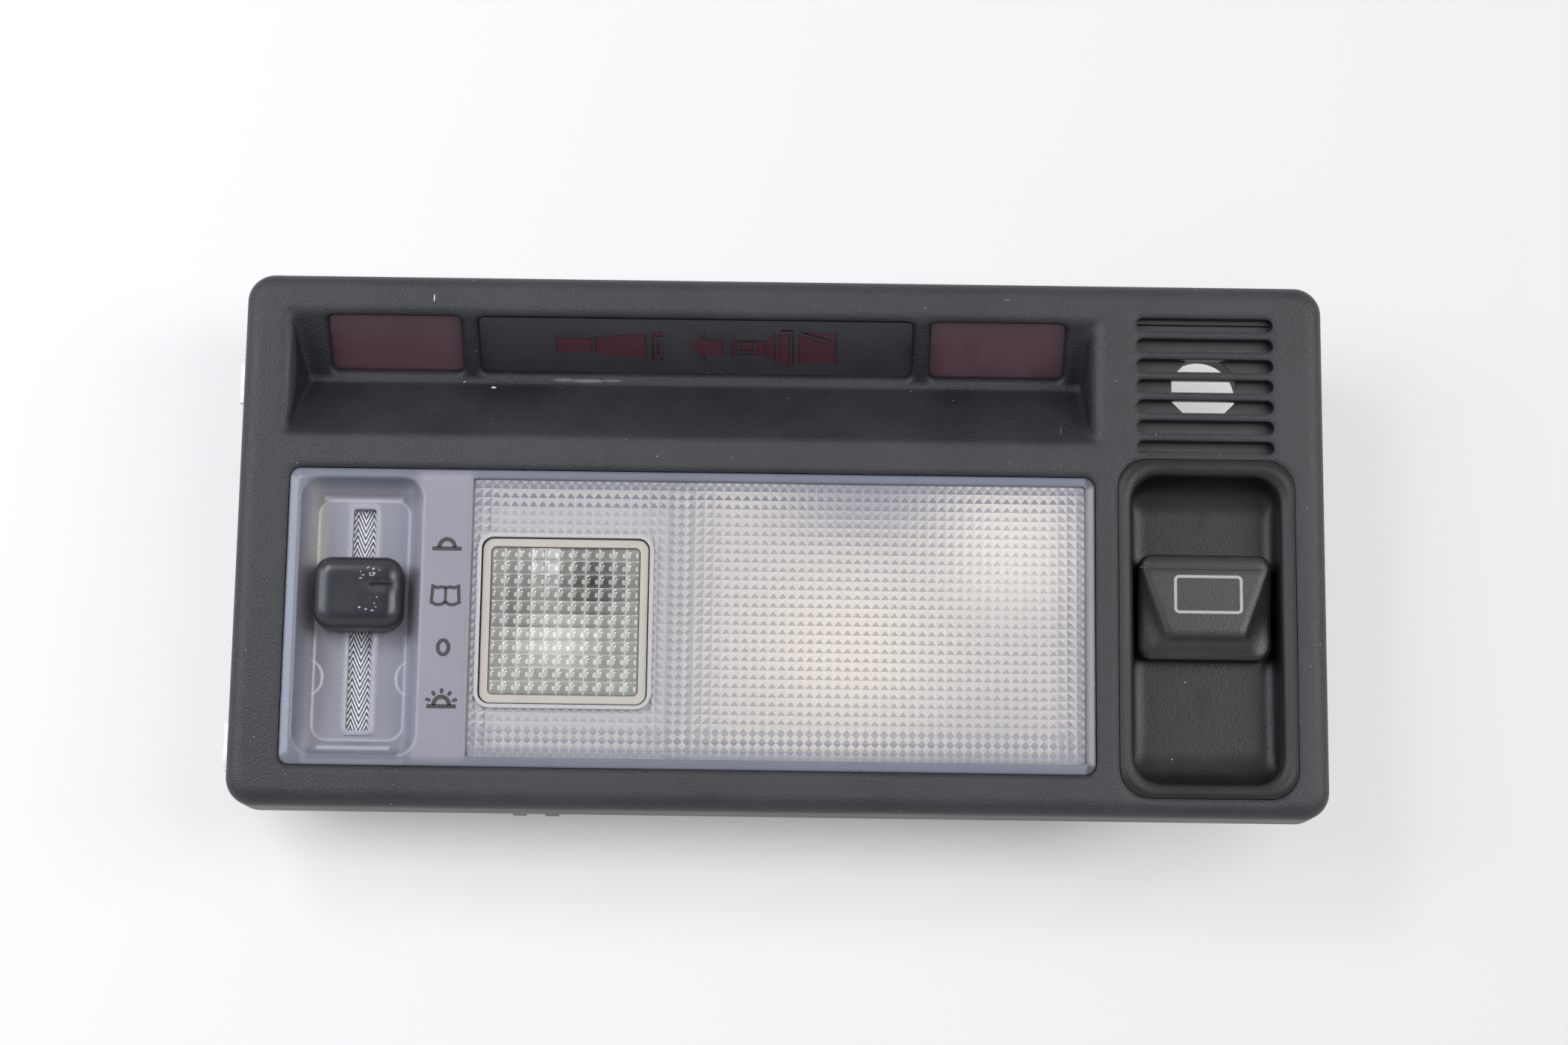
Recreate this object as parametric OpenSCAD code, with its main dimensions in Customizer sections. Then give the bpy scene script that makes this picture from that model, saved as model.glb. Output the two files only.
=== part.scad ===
/* [Bezel] */
// Length of the bezel
bezel_w = 205; // [200:0.5:220]
// Height of the bezel, across the display and the lamp
bezel_h = 101.6; // [100:0.2:112]
// Corner radius of the outline
bezel_r = 5.2; // [4.6:0.2:8]
// Radius of the rounded front edge
edge_r = 3; // [1.5:0.25:4]
// Depth of the rim from the face to its rear edge
rim_depth = 12; // [12:0.5:14]
// Wall of the rim
rim_t = 2.4; // [1.8:0.1:2.6]
// Thickness of the face
face_t = 2.2; // [1.8:0.1:2.6]
// Height of the rim's rear edge above the rear of the lamp
rear_depth = 24; // [23.5:0.5:30]
// Gap all round a piece that sits in an opening of the face
seam = 0.15; // [0.1:0.05:0.3]

/* [Display trough] */
// Height of the trough at the face
trough_h = 24.9; // [23.4:0.1:25.4]
// Distance from the bezel's left edge to the trough
trough_in_x = 7.4; // [7.2:0.1:9]
// Distance from the trough's right end to the recess moulding
trough_gap = 1.85; // [1.6:0.05:4]
// Distance from the bezel's top edge to the trough
trough_in_y = 7.3; // [7.2:0.1:8.4]
// Depth of the trough's fold below the face
trough_depth = 12; // [11:0.25:13]
// Distance from the trough's top edge to the fold
fold_in_y = 10.7; // [10.2:0.1:10.8]
// Wall of the trough
trough_t = 1.4; // [1.2:0.1:1.6]
// Corner radius of the trough in plan
trough_r = 3.2; // [2:0.1:4]
// Radius of the lip along the trough's upper edge
lip_top_r = 2.5; // [1.5:0.1:2.6]
// Radius of the lip along the trough's lower edge
lip_low_r = 1.5; // [1:0.1:2]
// Radius of the lip at the trough's left end
lip_left_r = 1.7; // [1:0.1:2]
// Radius of the lip at the trough's right end
lip_right_r = 3.6; // [2.6:0.1:3.8]
// Height of the windows along the sloping wall
window_h = 11.85; // [10:0.05:11.9]
// Distance from the fold to the windows along the wall
window_up = 1.75; // [1.7:0.05:2]
// Width of the bevel around each window
window_bevel = 0.55; // [0.3:0.05:0.7]
// Width of the bevel above each window
window_brow = 1.2; // [0.6:0.1:1.2]
// Width of the left window
window_left_w = 24.7; // [20:0.1:26]
// Width of the right window
window_right_w = 25.2; // [20:0.1:25.8]
// Bar between two windows
window_bar = 4; // [3.4:0.1:5]
// Distance from the trough's left end to the left window
window_in_x = 8.4; // [7.4:0.1:9]
// Distance from the trough's right end to the right window
window_out_x = 7.95; // [7:0.05:9]

/* [Dome lens] */
// Distance from the bezel's left edge to the lens
lens_in_x = 9.9; // [9.5:0.1:11]
// Bar between the lens and the recess moulding
lens_gap = 4.45; // [4.4:0.05:6]
// Bar between the lens and the trough
middle_bar = 5.75; // [5.6:0.05:7]
// Distance from the bezel's lower edge to the lens
lens_in_y = 7.55; // [7.45:0.05:8.2]
// Corner radius of the lens
lens_r = 2; // [1:0.25:3]
// Plate of the lens
lens_t = 2.2; // [1.8:0.1:2.6]
// How far the lens stands out of the face
lens_proud = 0.3; // [0:0.1:0.6]
// Width of the smooth bevel around the lens
lens_bevel = 1.7; // [1.2:0.1:2.2]
// Width of the flange behind the bezel
lens_flange = 1; // [0.8:0.05:1.1]
// Thickness of that flange
flange_t = 1.6; // [1.2:0.1:2]
// Pitch of the prism rows behind the lens
prism_pitch = 1.75; // [1.5:0.05:2.5]
// Depth of the prism rows
prism_depth = 0.6; // [0.4:0.05:0.8]
// Distance from the lens's left edge to the prisms
prism_in_x = 34.8; // [33:0.2:36]

/* [Slide switch] */
// Width of the tub's floor
tub_w = 17.3; // [17:0.1:19]
// Lens left over above and below the tub's floor, together
tub_in_y = 10.3; // [9.4:0.1:11]
// Depth of the tub below the face
tub_depth = 5; // [4.5:0.1:5.5]
// Slope of the tub's sides, across
tub_slope = 2.9; // [2:0.1:3.2]
// Wall under the tub
tub_t = 1.6; // [1.2:0.1:1.8]
// Distance from the lens's left edge to the middle of the slot
slot_in_x = 13.8; // [13.4:0.1:15]
// Width of the slot
slot_w = 4.3; // [3.8:0.1:5]
// Floor left over above and below the slot, together
slot_in_y = 3.6; // [2.4:0.1:4]
// Height of the rim around the slot
slot_rim = 0.5; // [0.2:0.1:0.6]
// Width of the knob
knob_w = 16.6; // [15:0.1:16.8]
// Length of the knob
knob_l = 13.6; // [12:0.1:13.8]
// Height of the knob's top above the face
knob_up = 3; // [2:0.1:5]
// Width of the woven tape
tape_w = 12; // [9:0.5:14]
// Thickness of the tape
tape_t = 0.4; // [0.3:0.05:0.6]
// Width of the slit in the tape
slit_w = 1.6; // [1.4:0.1:2]
// Thickness of the knob's blade
blade_t = 1; // [0.8:0.1:1.2]
// Length of the blade along the slot
blade_l = 7; // [5:0.5:7.5]
// Size of the carrier across and along
carrier_w = 14; // [12:0.1:14.4]
// Side clearance of the carrier in its guides
guide_gap = 0.1; // [0.05:0.01:0.2]
// Width of one contact rail
rail_w = 1.6; // [1:0.1:2]
// Thickness of one contact rail
rail_t = 0.6; // [0.4:0.1:0.8]

/* [Reading lamp] */
// Outside of the square frame
frame_w = 31; // [30:0.1:32]
// Bar of the frame beside the clear optic
frame_bar = 1.5; // [1.3:0.1:2]
// Thickness of the optic
optic_t = 1.8; // [1.4:0.1:2.2]
// Cells of the optic in a row
optic_cells = 11; // [9:1:13]
// Distance from the lens's left edge to the middle of the reading lamp
reading_in_x = 52.4; // [52:0.1:54]
// How far the reading lamp sits below the middle of the lens
reading_drop = 0.6; // [0:0.1:1.5]
// Width of the raised border around the frame
border_w = 0.7; // [0.5:0.1:1.2]

/* [Roof switch] */
// Width of the recess moulding
tray_w = 33.1; // [32:0.1:33.6]
// Distance from the recess moulding to the middle of the grille
tray_to_grille = 14.4; // [14.3:0.1:16]
// Distance from the bezel's right edge to the recess moulding
tray_in_x = 5.95; // [5.4:0.05:6.4]
// Distance from the bezel's lower edge to the recess moulding
tray_in_y = 3.5; // [3.45:0.05:4]
// Corner radius of the recess moulding
tray_r = 5.5; // [4:0.1:7]
// Rim of the recess moulding at the sides
well_in_x = 2.75; // [2.4:0.05:3]
// Rim of the recess moulding at its ends
well_in_y = 2.9; // [2.7:0.1:4]
// Depth of the recess
well_depth = 9; // [8:0.25:10]
// Radius between the recess's side walls and its floor
well_fillet = 2; // [1:0.25:2.25]
// Radius of the floor where it curves up at both ends
well_scoop = 6.5; // [4:0.25:6.75]
// Radius of the lip around the recess
well_lip = 1.6; // [0.8:0.1:1.8]
// Wall of the recess
tray_t = 1.8; // [1.4:0.1:2.2]
// Gap between the rocker and the recess's side walls
cap_in_x = 1.3; // [1.2:0.1:2]
// Length of the rocker
cap_l = 19.7; // [18:0.1:20]
// Depth of the rocker's front below the face
cap_depth = 2.4; // [1.8:0.1:2.8]
// How far the rocker sits above the middle of the recess
cap_up = 4.6; // [3:0.1:5]
// Room under the rocker for its tilt
cap_gap = 2; // [1.9:0.1:2.4]
// Distance from the recess's floor down to the rocker's axis
axis_down = 6; // [5.5:0.1:7]
// Radius of the rocker's pin
pin_r = 1.25; // [1:0.05:1.5]
// Running clearance of the pin in the rocker, in radius
pin_gap = 0.05; // [0.02:0.01:0.1]

/* [Grille and sensor duct] */
// Number of slots
grille_n = 7; // [5:1:7]
// Length of one slot
grille_w = 26; // [22:0.1:26.4]
// Height of one slot
grille_h = 2.6; // [2:0.1:2.8]
// Pitch of the slots
grille_pitch = 3.97; // [3.8:0.01:4]
// Distance from the bezel's top edge to the middle of the grille
grille_in_y = 19.9; // [19.7:0.05:20]
// Width across the flats of the duct's eight-sided mouth
mouth_af = 12.1; // [10:0.1:13]
// Inner radius of the duct
duct_r = 7; // [6.8:0.1:7.5]
// Depth of the duct's rear end below the face
duct_depth = 11; // [9:0.25:14]

/* [Lamp body] */
// Wall of the lamp body
body_t = 1.8; // [1.4:0.1:2]
// Height of the lamp body's floor above its rear edge
floor_up = 4; // [3:0.25:5]
// Height of the switch deck above the rear edge
deck_up = 22.5; // [22.3:0.1:22.8]
// Height of the bulb's axis above the rear edge
bulb_up = 17; // [15.5:0.5:18]
// Radius of the festoon bulb's glass
bulb_r = 5.2; // [4.5:0.1:6]
// Standard length of the festoon bulb over its caps
bulb_l_max = 41; // [36:0.5:42]
// Radius of a screw's shank
screw_r = 1; // [0.8:0.05:1.1]
// Clearance of a screw in its hole, in radius
screw_gap = 0.1; // [0.05:0.05:0.2]
// Radius of a screw boss
boss_r = 2.1; // [1.9:0.05:2.15]

/* [Side clips] */
// Width of one spring clip
clip_w = 9; // [7:0.5:11]
// Thickness of the spring steel
clip_t = 0.6; // [0.4:0.1:0.8]
// How far a clip reaches past the bezel's side
clip_reach = 3; // [2:0.1:4]

/* [Hidden] */
$fn = 48;
eps = 0.01;

// Levels, upwards from the plane the lamp lies on
face_z = rear_depth + rim_depth;
plate_z = face_z - face_t;
flange_z = plate_z - flange_t;
lens_z = face_z + lens_proud;
lens_under_z = lens_z - lens_t;
lens_wall = 1.8;
bevel_drop = 0.6;
tub_z = face_z - tub_depth;
tub_under_z = tub_z - tub_t;
tape_z = tub_under_z - tape_t;
carrier_gap = 0.4;
carrier_z = tape_z - carrier_gap;
carrier_t = 3.3;
contact_t = 0.5;
ear_t = 2.5;
well_z = face_z - well_depth;
tray_under_z = well_z - tray_t;
axis_z = well_z - axis_down;
cap_z = well_z + cap_gap;
cap_top_z = face_z - cap_depth;

// Places on the face, from the bezel's middle
left = -bezel_w / 2;
right = bezel_w / 2;
top = bezel_h / 2;
low = -bezel_h / 2;
inner_top = top - rim_t;
tray_h = bezel_h - grille_in_y - tray_to_grille - tray_in_y;
trough_w = bezel_w - trough_in_x - trough_gap - tray_w - tray_in_x;
lens_w = bezel_w - lens_in_x - lens_gap - tray_w - tray_in_x;
lens_h = bezel_h - lens_in_y - middle_bar - trough_h - trough_in_y;
trough_x0 = left + trough_in_x;
trough_x1 = trough_x0 + trough_w;
trough_y1 = top - trough_in_y;
trough_y0 = trough_y1 - trough_h;
fold_y = trough_y1 - fold_in_y;
fold_z = face_z - trough_depth;
lens_x = left + lens_in_x + lens_w / 2;
lens_y = low + lens_in_y + lens_h / 2;
lens_left = lens_x - lens_w / 2;
slot_x = lens_left + slot_in_x;
tub_y = lens_y - 0.1;
tub_l = lens_h - tub_in_y;
slot_l = tub_l - slot_in_y;
// The slot holds the stem at its four positions and at rest the switch is one step from the top
stem_len = 9;
stem_room = 1.9;
step_y = (slot_l - stem_len - 2 * stem_room) / 3;
home_y = tub_y + step_y / 2 - 0.7;
reading_x = lens_left + reading_in_x;
reading_y = lens_y - reading_drop;
optic_w = frame_w - 2 * frame_bar;
tray_x = right - tray_in_x - tray_w / 2;
tray_y = low + tray_in_y + tray_h / 2;
well_w = tray_w - 2 * well_in_x;
well_h = tray_h - 2 * well_in_y;
well_r = 5;
cap_w = well_w - 2 * cap_in_x;
cap_y = tray_y + cap_up;
grille_y = top - grille_in_y;
// The object's box is centred on the origin, and the clips reach out on the left only
middle_x = clip_reach / 2;

// Sloping wall of the trough
window_wall = [trough_y1 - fold_y, trough_depth];
window_tilt = atan2(window_wall.y, window_wall.x);
window_len = norm(window_wall);
low_angle = atan2(trough_depth, fold_y - trough_y0);
// How far the trough's end walls lean inwards over its depth
left_lean = 2.4;
right_lean = 0.9;
left_angle = atan2(trough_depth, left_lean);
right_angle = atan2(trough_depth, right_lean);
// Where each wall would meet the face without its lip
left_edge = trough_x0 + lip_left_r * tan(left_angle / 2);
right_edge = trough_x1 - lip_right_r * tan(right_angle / 2);
low_edge = trough_y0 + lip_low_r * tan(low_angle / 2);
bevel_depth = 0.65;
mask_t = 0.3;
filter_t = 1.5;
filter_margin = 1.6;
filter_over = 0.3;
filter_h = window_h + filter_margin + filter_over;
filter_up = window_up - filter_margin + filter_h / 2;
window_mid_w = trough_w - window_in_x - window_left_w - 2 * window_bar - window_right_w - window_out_x;
window_x0 = trough_x0 + window_in_x;
window_x1 = window_x0 + window_left_w;
window_x2 = window_x1 + window_bar;
window_x3 = window_x2 + window_mid_w;
window_x4 = window_x3 + window_bar;
window_x5 = window_x4 + window_right_w;

// Lamp body
body_w = lens_w + 2 * lens_flange;
body_h = lens_h + 2 * lens_flange;
body_left = lens_x - body_w / 2;
body_right = lens_x + body_w / 2;
body_low = lens_y - body_h / 2;
body_top = lens_y + body_h / 2;
floor_z = floor_up + body_t;
split_x = reading_x - frame_w / 2 - 1.9;
divider_x = reading_x + frame_w / 2 + 7.1;
divider_t = 1.4;
dome_x0 = divider_x + 2.4;
dome_x1 = body_right - body_t - 0.4;
dome_x = (dome_x0 + dome_x1) / 2;
dome_w = dome_x1 - dome_x0;
bulb_l = min(bulb_l_max, dome_w - 20);
contact_x = bulb_l / 2 - 1.2;
contact_w = 8;
ear_x = [lens_left + 4.6, lens_left + lens_w - 7];
ear_z = rear_depth - ear_t;
ear_low = body_low - boss_r - 0.2;
ear_high = body_top + boss_r + 0.2;
socket_x = lens_left + 14.6;
socket_y = tub_y - 6;
socket_w = 26;
socket_h = 14;
socket_z = 11;
socket_t = 1.5;

// Display box
box_gap = 0.3;
box_x0 = window_x0 - 5.4;
box_x1 = window_x5 + 4.45;
box_y0 = body_top + 6.2;
box_y1 = inner_top - box_gap;
box_t = 1.5;
box_rear_z = 8;
box_lid_z = fold_z - trough_t - 1.1;
boss_y = inner_top - 2.2;
box_ear_x = [box_x0 - 4.1, box_x1 + 4.1];
box_bulbs = [window_x0 + window_left_w / 2, window_x2 + window_mid_w / 4,
             window_x2 + window_mid_w * 3 / 4, window_x4 + window_right_w / 2];
box_bulb_y = (box_y0 + box_y1) / 2 + 2;
box_hole_r = 5;
small_bulb_r = 2.4;

// Roof switch
stem_w = 12;
stem_l = 7;
stem_play = 2.2;
body_half_x = 14;
body_half_y = 15;
cavity_half_x = 9;
ear_y = body_half_y + 3;
tray_boss = 3;
switch_rear_z = 5;
stem_low_z = axis_z - 7;
plunger_r = 1.6;
plunger_reach = 9.15;
cradle_r = 9.4;
cradle_t = 0.5;
blade_w = 6.3;

// Snap arms of the recess moulding, pegs of the sensor duct, hooks and clips of the rim
arm_y = [8.9 - tray_h / 2, tray_h / 2 - 9.9];
peg_x = tray_w / 2 - 2.15;
peg_y = 6.5;
peg_r = 0.8;
low_hook_x = [left + 53.8, left + 59.9];
side_hook_y = [20.8 - bezel_h / 2, bezel_h / 2 - 20.8];
clip_y = [low + 12.2, top - 17.8];

// Points of an arc of radius r that rounds the corner b between a and c
function unit(v) = v / norm(v);
function turn(a) = a > 180 ? a - 360 : a < -180 ? a + 360 : a;
function corner(a, b, c, r, n) =
    let (u = unit(a - b), v = unit(c - b), half = acos(u * v) / 2,
         m = b + unit(u + v) * r / sin(half), p = b + u * r / tan(half), q = b + v * r / tan(half),
         a0 = atan2(p.y - m.y, p.x - m.x), sweep = turn(atan2(q.y - m.y, q.x - m.x) - a0))
    [for (i = [0:n]) m + r * [cos(a0 + sweep * i / n), sin(a0 + sweep * i / n)]];
// Outline with its corners rounded, from points [x, y, radius]
function rounded(pts, n = 5) =
    [for (i = [0:len(pts) - 1])
        let (k = len(pts), p = pts[i], a = pts[(i + k - 1) % k], c = pts[(i + 1) % k])
        each (p.z > 0 ? corner([a.x, a.y], [p.x, p.y], [c.x, c.y], p.z, n) : [[p.x, p.y]])];
// Point where the line from p along u meets the line from q along v
function meet(p, u, q, v) = p + u * cross(q - p, v) / cross(u, v);

// Rectangle with round corners, centred
module rrect(w, h, r) {
    square([w - 2 * r, h], center = true);
    square([w, h - 2 * r], center = true);
    for (x = [-1, 1], y = [-1, 1]) translate([x * (w / 2 - r), y * (h / 2 - r)]) circle(r);
}

// Round-cornered plate from level z0 to z1
module plate(w, h, r, z0, z1) {
    translate([0, 0, z0]) linear_extrude(z1 - z0) rrect(w, h, r);
}

// Extrusion of a (y, z) profile from x0 to x1
module along_x(x0, x1) {
    translate([x0, 0, 0]) rotate([90, 0, 90]) linear_extrude(x1 - x0) children();
}

// Extrusion of an (x, z) profile from y0 to y1
module along_y(y0, y1) {
    translate([0, y1, 0]) rotate([90, 0, 0]) linear_extrude(y1 - y0) children();
}

// Everything is drawn from the bezel's middle and placed here
module placed() {
    translate([middle_x, 0, 0]) children();
}

// Block with round corners and a rounded front edge
module soft_block(w, h, r, e, z0, z1) {
    t = z1 - z0;
    translate([0, 0, z0]) {
        for (x = [-1, 1], y = [-1, 1]) translate([x * (w / 2 - r), y * (h / 2 - r), 0])
            rotate_extrude() {
                square([r, t - e]);
                square([r - e, t]);
                translate([r - e, t - e]) intersection() {
                    circle(e);
                    square(e);
                }
            }
        along_x(-w / 2 + r, w / 2 - r) soft_profile(h, t, e);
        along_y(-h / 2 + r, h / 2 - r) soft_profile(w, t, e);
    }
}

module soft_profile(w, t, e) {
    translate([-w / 2, 0]) square([w, t - e]);
    translate([-w / 2 + e, 0]) square([w - 2 * e, t]);
    for (x = [-1, 1]) translate([x * (w / 2 - e), t - e]) circle(e);
}

// Self-tapping screw standing on its head, its point upwards
module screw(z0, z1) {
    translate([0, 0, z0]) {
        difference() {
            cylinder(h = 1.8, r = 2 * screw_r);
            translate([0, 0, -eps]) cylinder(h = 0.9, r = 0.9 * screw_r, $fn = 6);
        }
        cylinder(h = z1 - z0 - 1.2, r = screw_r);
        translate([0, 0, z1 - z0 - 1.2]) cylinder(h = 1.2, r1 = screw_r, r2 = 0.3);
    }
}

// Hollow of the trough: its slopes, its ends and its corners in plan
module trough_hollow() {
    out = 1;
    deep = fold_z - out;
    intersection() {
        along_x(trough_x0, trough_x1) polygon(rounded([
            [trough_y0 - out, face_z + 2, 0], [trough_y0 - out, face_z, 0], [low_edge, face_z, lip_low_r],
            [fold_y, fold_z, 0.6], [trough_y1, face_z, lip_top_r], [trough_y1 + 2, face_z, 0],
            [trough_y1 + 2, face_z + 2, 0]]));
        along_y(trough_y0, trough_y1 + 2) polygon(rounded([
            [trough_x0 - out, face_z + 2, 0], [trough_x0 - out, face_z, 0], [left_edge, face_z, lip_left_r],
            [left_edge + left_lean * (face_z - deep) / trough_depth, deep, 0],
            [right_edge - right_lean * (face_z - deep) / trough_depth, deep, 0],
            [right_edge, face_z, lip_right_r], [trough_x1 + out, face_z, 0],
            [trough_x1 + out, face_z + 2, 0]]));
        translate([(trough_x0 + trough_x1) / 2, (trough_y0 + trough_y1 + 1.2) / 2, 0])
            plate(trough_w, trough_h + 1.2, trough_r, fold_z - 1, face_z + 1);
    }
}

// Outside of the trough's wall behind the face
module trough_back() {
    down = unit([fold_y - low_edge, -trough_depth]);
    up = unit(window_wall);
    fold = [fold_y, fold_z];
    low_line = fold + trough_t * [down.y, -down.x];
    high_line = fold + trough_t * [up.y, -up.x];
    mid_z = [0, plate_z + face_t / 2];
    deep = trough_depth + 5;
    intersection() {
        along_x(trough_x0 - trough_t, trough_x1 + trough_t) polygon([
            meet(low_line, down, mid_z, [1, 0]), meet(low_line, down, high_line, up),
            meet(high_line, up, mid_z, [1, 0])]);
        along_y(trough_y0 - 5, inner_top + 0.5) polygon([
            [left_edge - trough_t, face_z],
            [left_edge - trough_t + left_lean * deep / trough_depth, face_z - deep],
            [right_edge + trough_t - right_lean * deep / trough_depth, face_z - deep],
            [right_edge + trough_t, face_z]]);
    }
}

// Frame of the trough's sloping wall: x along it, y up it from the fold, z out of it
module on_window_wall() {
    translate([0, fold_y, fold_z]) rotate([window_tilt, 0, 0]) children();
}

module window_cut(x0, x1) {
    w = x1 - x0;
    over = 0.4;
    grow = 1 + over / bevel_depth;
    side = window_bevel * grow;
    brow = window_brow * grow;
    on_window_wall() translate([(x0 + x1) / 2, window_up + window_h / 2, 0]) hull() {
        translate([0, (brow - side) / 2, 0])
            plate(w + 2 * side, window_h + side + brow, 1 + 0.6 * grow, over, over + 0.5, $fn = 32);
        plate(w, window_h, 1, -trough_t - 0.5, -bevel_depth, $fn = 32);
    }
}

module grille_slot() {
    square([grille_w - grille_h, grille_h], center = true);
    for (x = [-1, 1]) translate([x * (grille_w - grille_h) / 2, 0]) circle(grille_h / 2);
}

module bezel_boss(x, y, z) {
    translate([x, y, z]) cylinder(h = plate_z + eps - z, r = boss_r);
}

module boss_hole(x, y, z) {
    translate([x, y, z - eps]) cylinder(h = plate_z - z - 1.4, r = screw_r + screw_gap);
}

// Arm behind the face that snaps over the flange of the recess moulding
module snap_arm(side, y) {
    flange_x = tray_w / 2 + lens_flange;
    translate([tray_x, y - 3, 0]) mirror([side < 0 ? 1 : 0, 0, 0]) along_y(0, 6) polygon([
        [flange_x + 0.2, plate_z + eps], [flange_x + 1.3, plate_z + eps], [flange_x + 1.3, flange_z - 1.4],
        [flange_x + 0.2, flange_z - 1.4], [flange_x - 0.5, flange_z - 0.3],
        [flange_x + 0.2, flange_z - 0.1]]);
}

// Moulded hook on the rear edge of the rim that holds in the roof opening
module rim_hook(w) {
    translate([-w / 2, 0, 0]) along_x(0, w) polygon([
        [0, rear_depth + 1], [0, rear_depth - 4.4], [0.8, rear_depth - 5], [1.8, rear_depth - 4.2],
        [1.8, rear_depth + 1]]);
}

module bezel() {
    placed() color("#2b2c2f") {
        difference() {
            union() {
                difference() {
                    soft_block(bezel_w, bezel_h, bezel_r, edge_r, rear_depth, face_z);
                    plate(bezel_w - 2 * rim_t, bezel_h - 2 * rim_t, bezel_r - rim_t,
                          rear_depth - 1, plate_z);
                }
                trough_back();
                for (x = ear_x, y = [ear_low, ear_high]) bezel_boss(x, y, rear_depth);
                for (x = box_ear_x) bezel_boss(x, boss_y, box_lid_z);
                for (side = [-1, 1], y = arm_y) snap_arm(side, tray_y + y);
                for (x = [-1, 1], y = [-1, 1])
                    translate([tray_x + peg_x * x, grille_y + peg_y * y, flange_z])
                        cylinder(h = flange_t + eps, r = peg_r);
                for (x = low_hook_x) translate([x, low, 0]) rim_hook(2.4);
                for (y = side_hook_y) translate([right, y, 0]) rotate([0, 0, 90]) rim_hook(9);
            }
            trough_hollow();
            window_cut(window_x0, window_x1);
            window_cut(window_x2, window_x3);
            window_cut(window_x4, window_x5);
            translate([lens_x, lens_y, 0])
                plate(lens_w + 2 * seam, lens_h + 2 * seam, lens_r + seam, plate_z - 1, face_z + 1);
            translate([tray_x, tray_y, 0])
                plate(tray_w + 2 * seam, tray_h + 2 * seam, tray_r + seam, plate_z - 1, face_z + 1);
            for (i = [0:grille_n - 1])
                translate([tray_x, grille_y + (i - (grille_n - 1) / 2) * grille_pitch, plate_z - 1])
                    linear_extrude(face_t + 2) grille_slot();
            for (x = ear_x, y = [ear_low, ear_high]) boss_hole(x, y, rear_depth);
            for (x = box_ear_x) boss_hole(x, boss_y, box_lid_z);
        }
    }
}

// Seat-belt tongue, arrow and buckle, as simple cut-outs for a window 82 mm long
module belt_signs() {
    translate([-18, 0]) {
        translate([-7.6, 0]) square([7, 3.6], center = true);
        polygon([[-3.6, -2], [6.4, -3], [6.4, 3], [-3.6, 2]]);
        translate([8.4, 0]) square([2.1, 7], center = true);
    }
    polygon([[-3.1, 0], [-0.4, 3.4], [-0.4, 1.8], [3.1, 1.8], [3.1, -1.8], [-0.4, -1.8], [-0.4, -3.4]]);
    translate([13.8, 0]) {
        translate([-5.9, 0]) square([6.4, 3.6], center = true);
        polygon([[-2.5, -1.8], [0.6, -4.3], [2.8, -4.3], [2.8, 4.3], [0.6, 4.3], [-2.5, 1.8]]);
        translate([7.4, 0]) square([7.4, 7.2], center = true);
    }
}

module display_mask() {
    placed() color("#1c1d20") on_window_wall() difference() {
        translate([(window_x2 + window_x3) / 2, filter_up, 0])
            plate(window_mid_w + 2, filter_h, 0.5, -trough_t - mask_t, -trough_t);
        translate([(window_x2 + window_x3) / 2 + 2.1, window_up + window_h / 2, -trough_t - mask_t - 1])
            scale([window_mid_w / 82.4, 1, 1]) linear_extrude(mask_t + 2) belt_signs();
    }
}

module display_filter() {
    placed() color("#4a1d22") on_window_wall()
        translate([(window_x0 + window_x5) / 2, filter_up, 0])
            plate(window_x5 - window_x0 + 2 * filter_margin, filter_h, 0.5,
                  -trough_t - mask_t - filter_t, -trough_t - mask_t);
}

// Level across the sloping mouth of the display box, up the wall and behind it
function mouth_at(s, back) =
    [fold_y, fold_z] + s * unit(window_wall) + back * [window_wall.y, -window_wall.x] / window_len;

module display_box() {
    seat = trough_t + mask_t + filter_t;
    up = unit(window_wall);
    outer = [[box_y0, box_rear_z], [box_y1, box_rear_z], [box_y1, plate_z - 0.4],
             meet(mouth_at(0, seat), up, [0, plate_z - 0.4], [1, 0]),
             meet(mouth_at(0, seat), up, [0, box_lid_z], [1, 0]), [box_y0, box_lid_z]];
    hollow = [[box_y0 + box_t, box_rear_z + box_t], [box_y1 - box_t, box_rear_z + box_t],
              [box_y1 - box_t, mouth_at(window_len - 1.5, seat).y - 1], mouth_at(window_len - 1.5, seat - 1),
              mouth_at(1.6, seat - 1), mouth_at(1.6, seat), [mouth_at(1.6, seat).x, box_lid_z - box_t],
              [box_y0 + box_t, box_lid_z - box_t]];
    walls = [box_x0, (window_x1 + window_x2) / 2, (window_x2 + window_x3) / 2,
             (window_x3 + window_x4) / 2, box_x1];
    placed() color("#c9c9c4") difference() {
        union() {
            along_x(box_x0, box_x1) polygon(outer);
            for (x = box_ear_x) translate([x, boss_y, box_lid_z - ear_t]) linear_extrude(ear_t) {
                circle(boss_r);
                translate([x < 0 ? 0 : -4.2, -boss_r]) square([4.2, 2 * boss_r]);
            }
        }
        for (i = [0:3]) along_x(walls[i] + box_t / 2 + (i == 0 ? box_t / 2 : 0),
                                walls[i + 1] - box_t / 2 - (i == 3 ? box_t / 2 : 0)) polygon(hollow);
        for (x = box_bulbs) translate([x, box_bulb_y, box_rear_z - 1])
            cylinder(h = box_t + 2, r = box_hole_r);
        for (x = box_ear_x) translate([x, boss_y, box_lid_z - ear_t - 1])
            cylinder(h = ear_t + 2, r = screw_r + screw_gap);
    }
}

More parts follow.
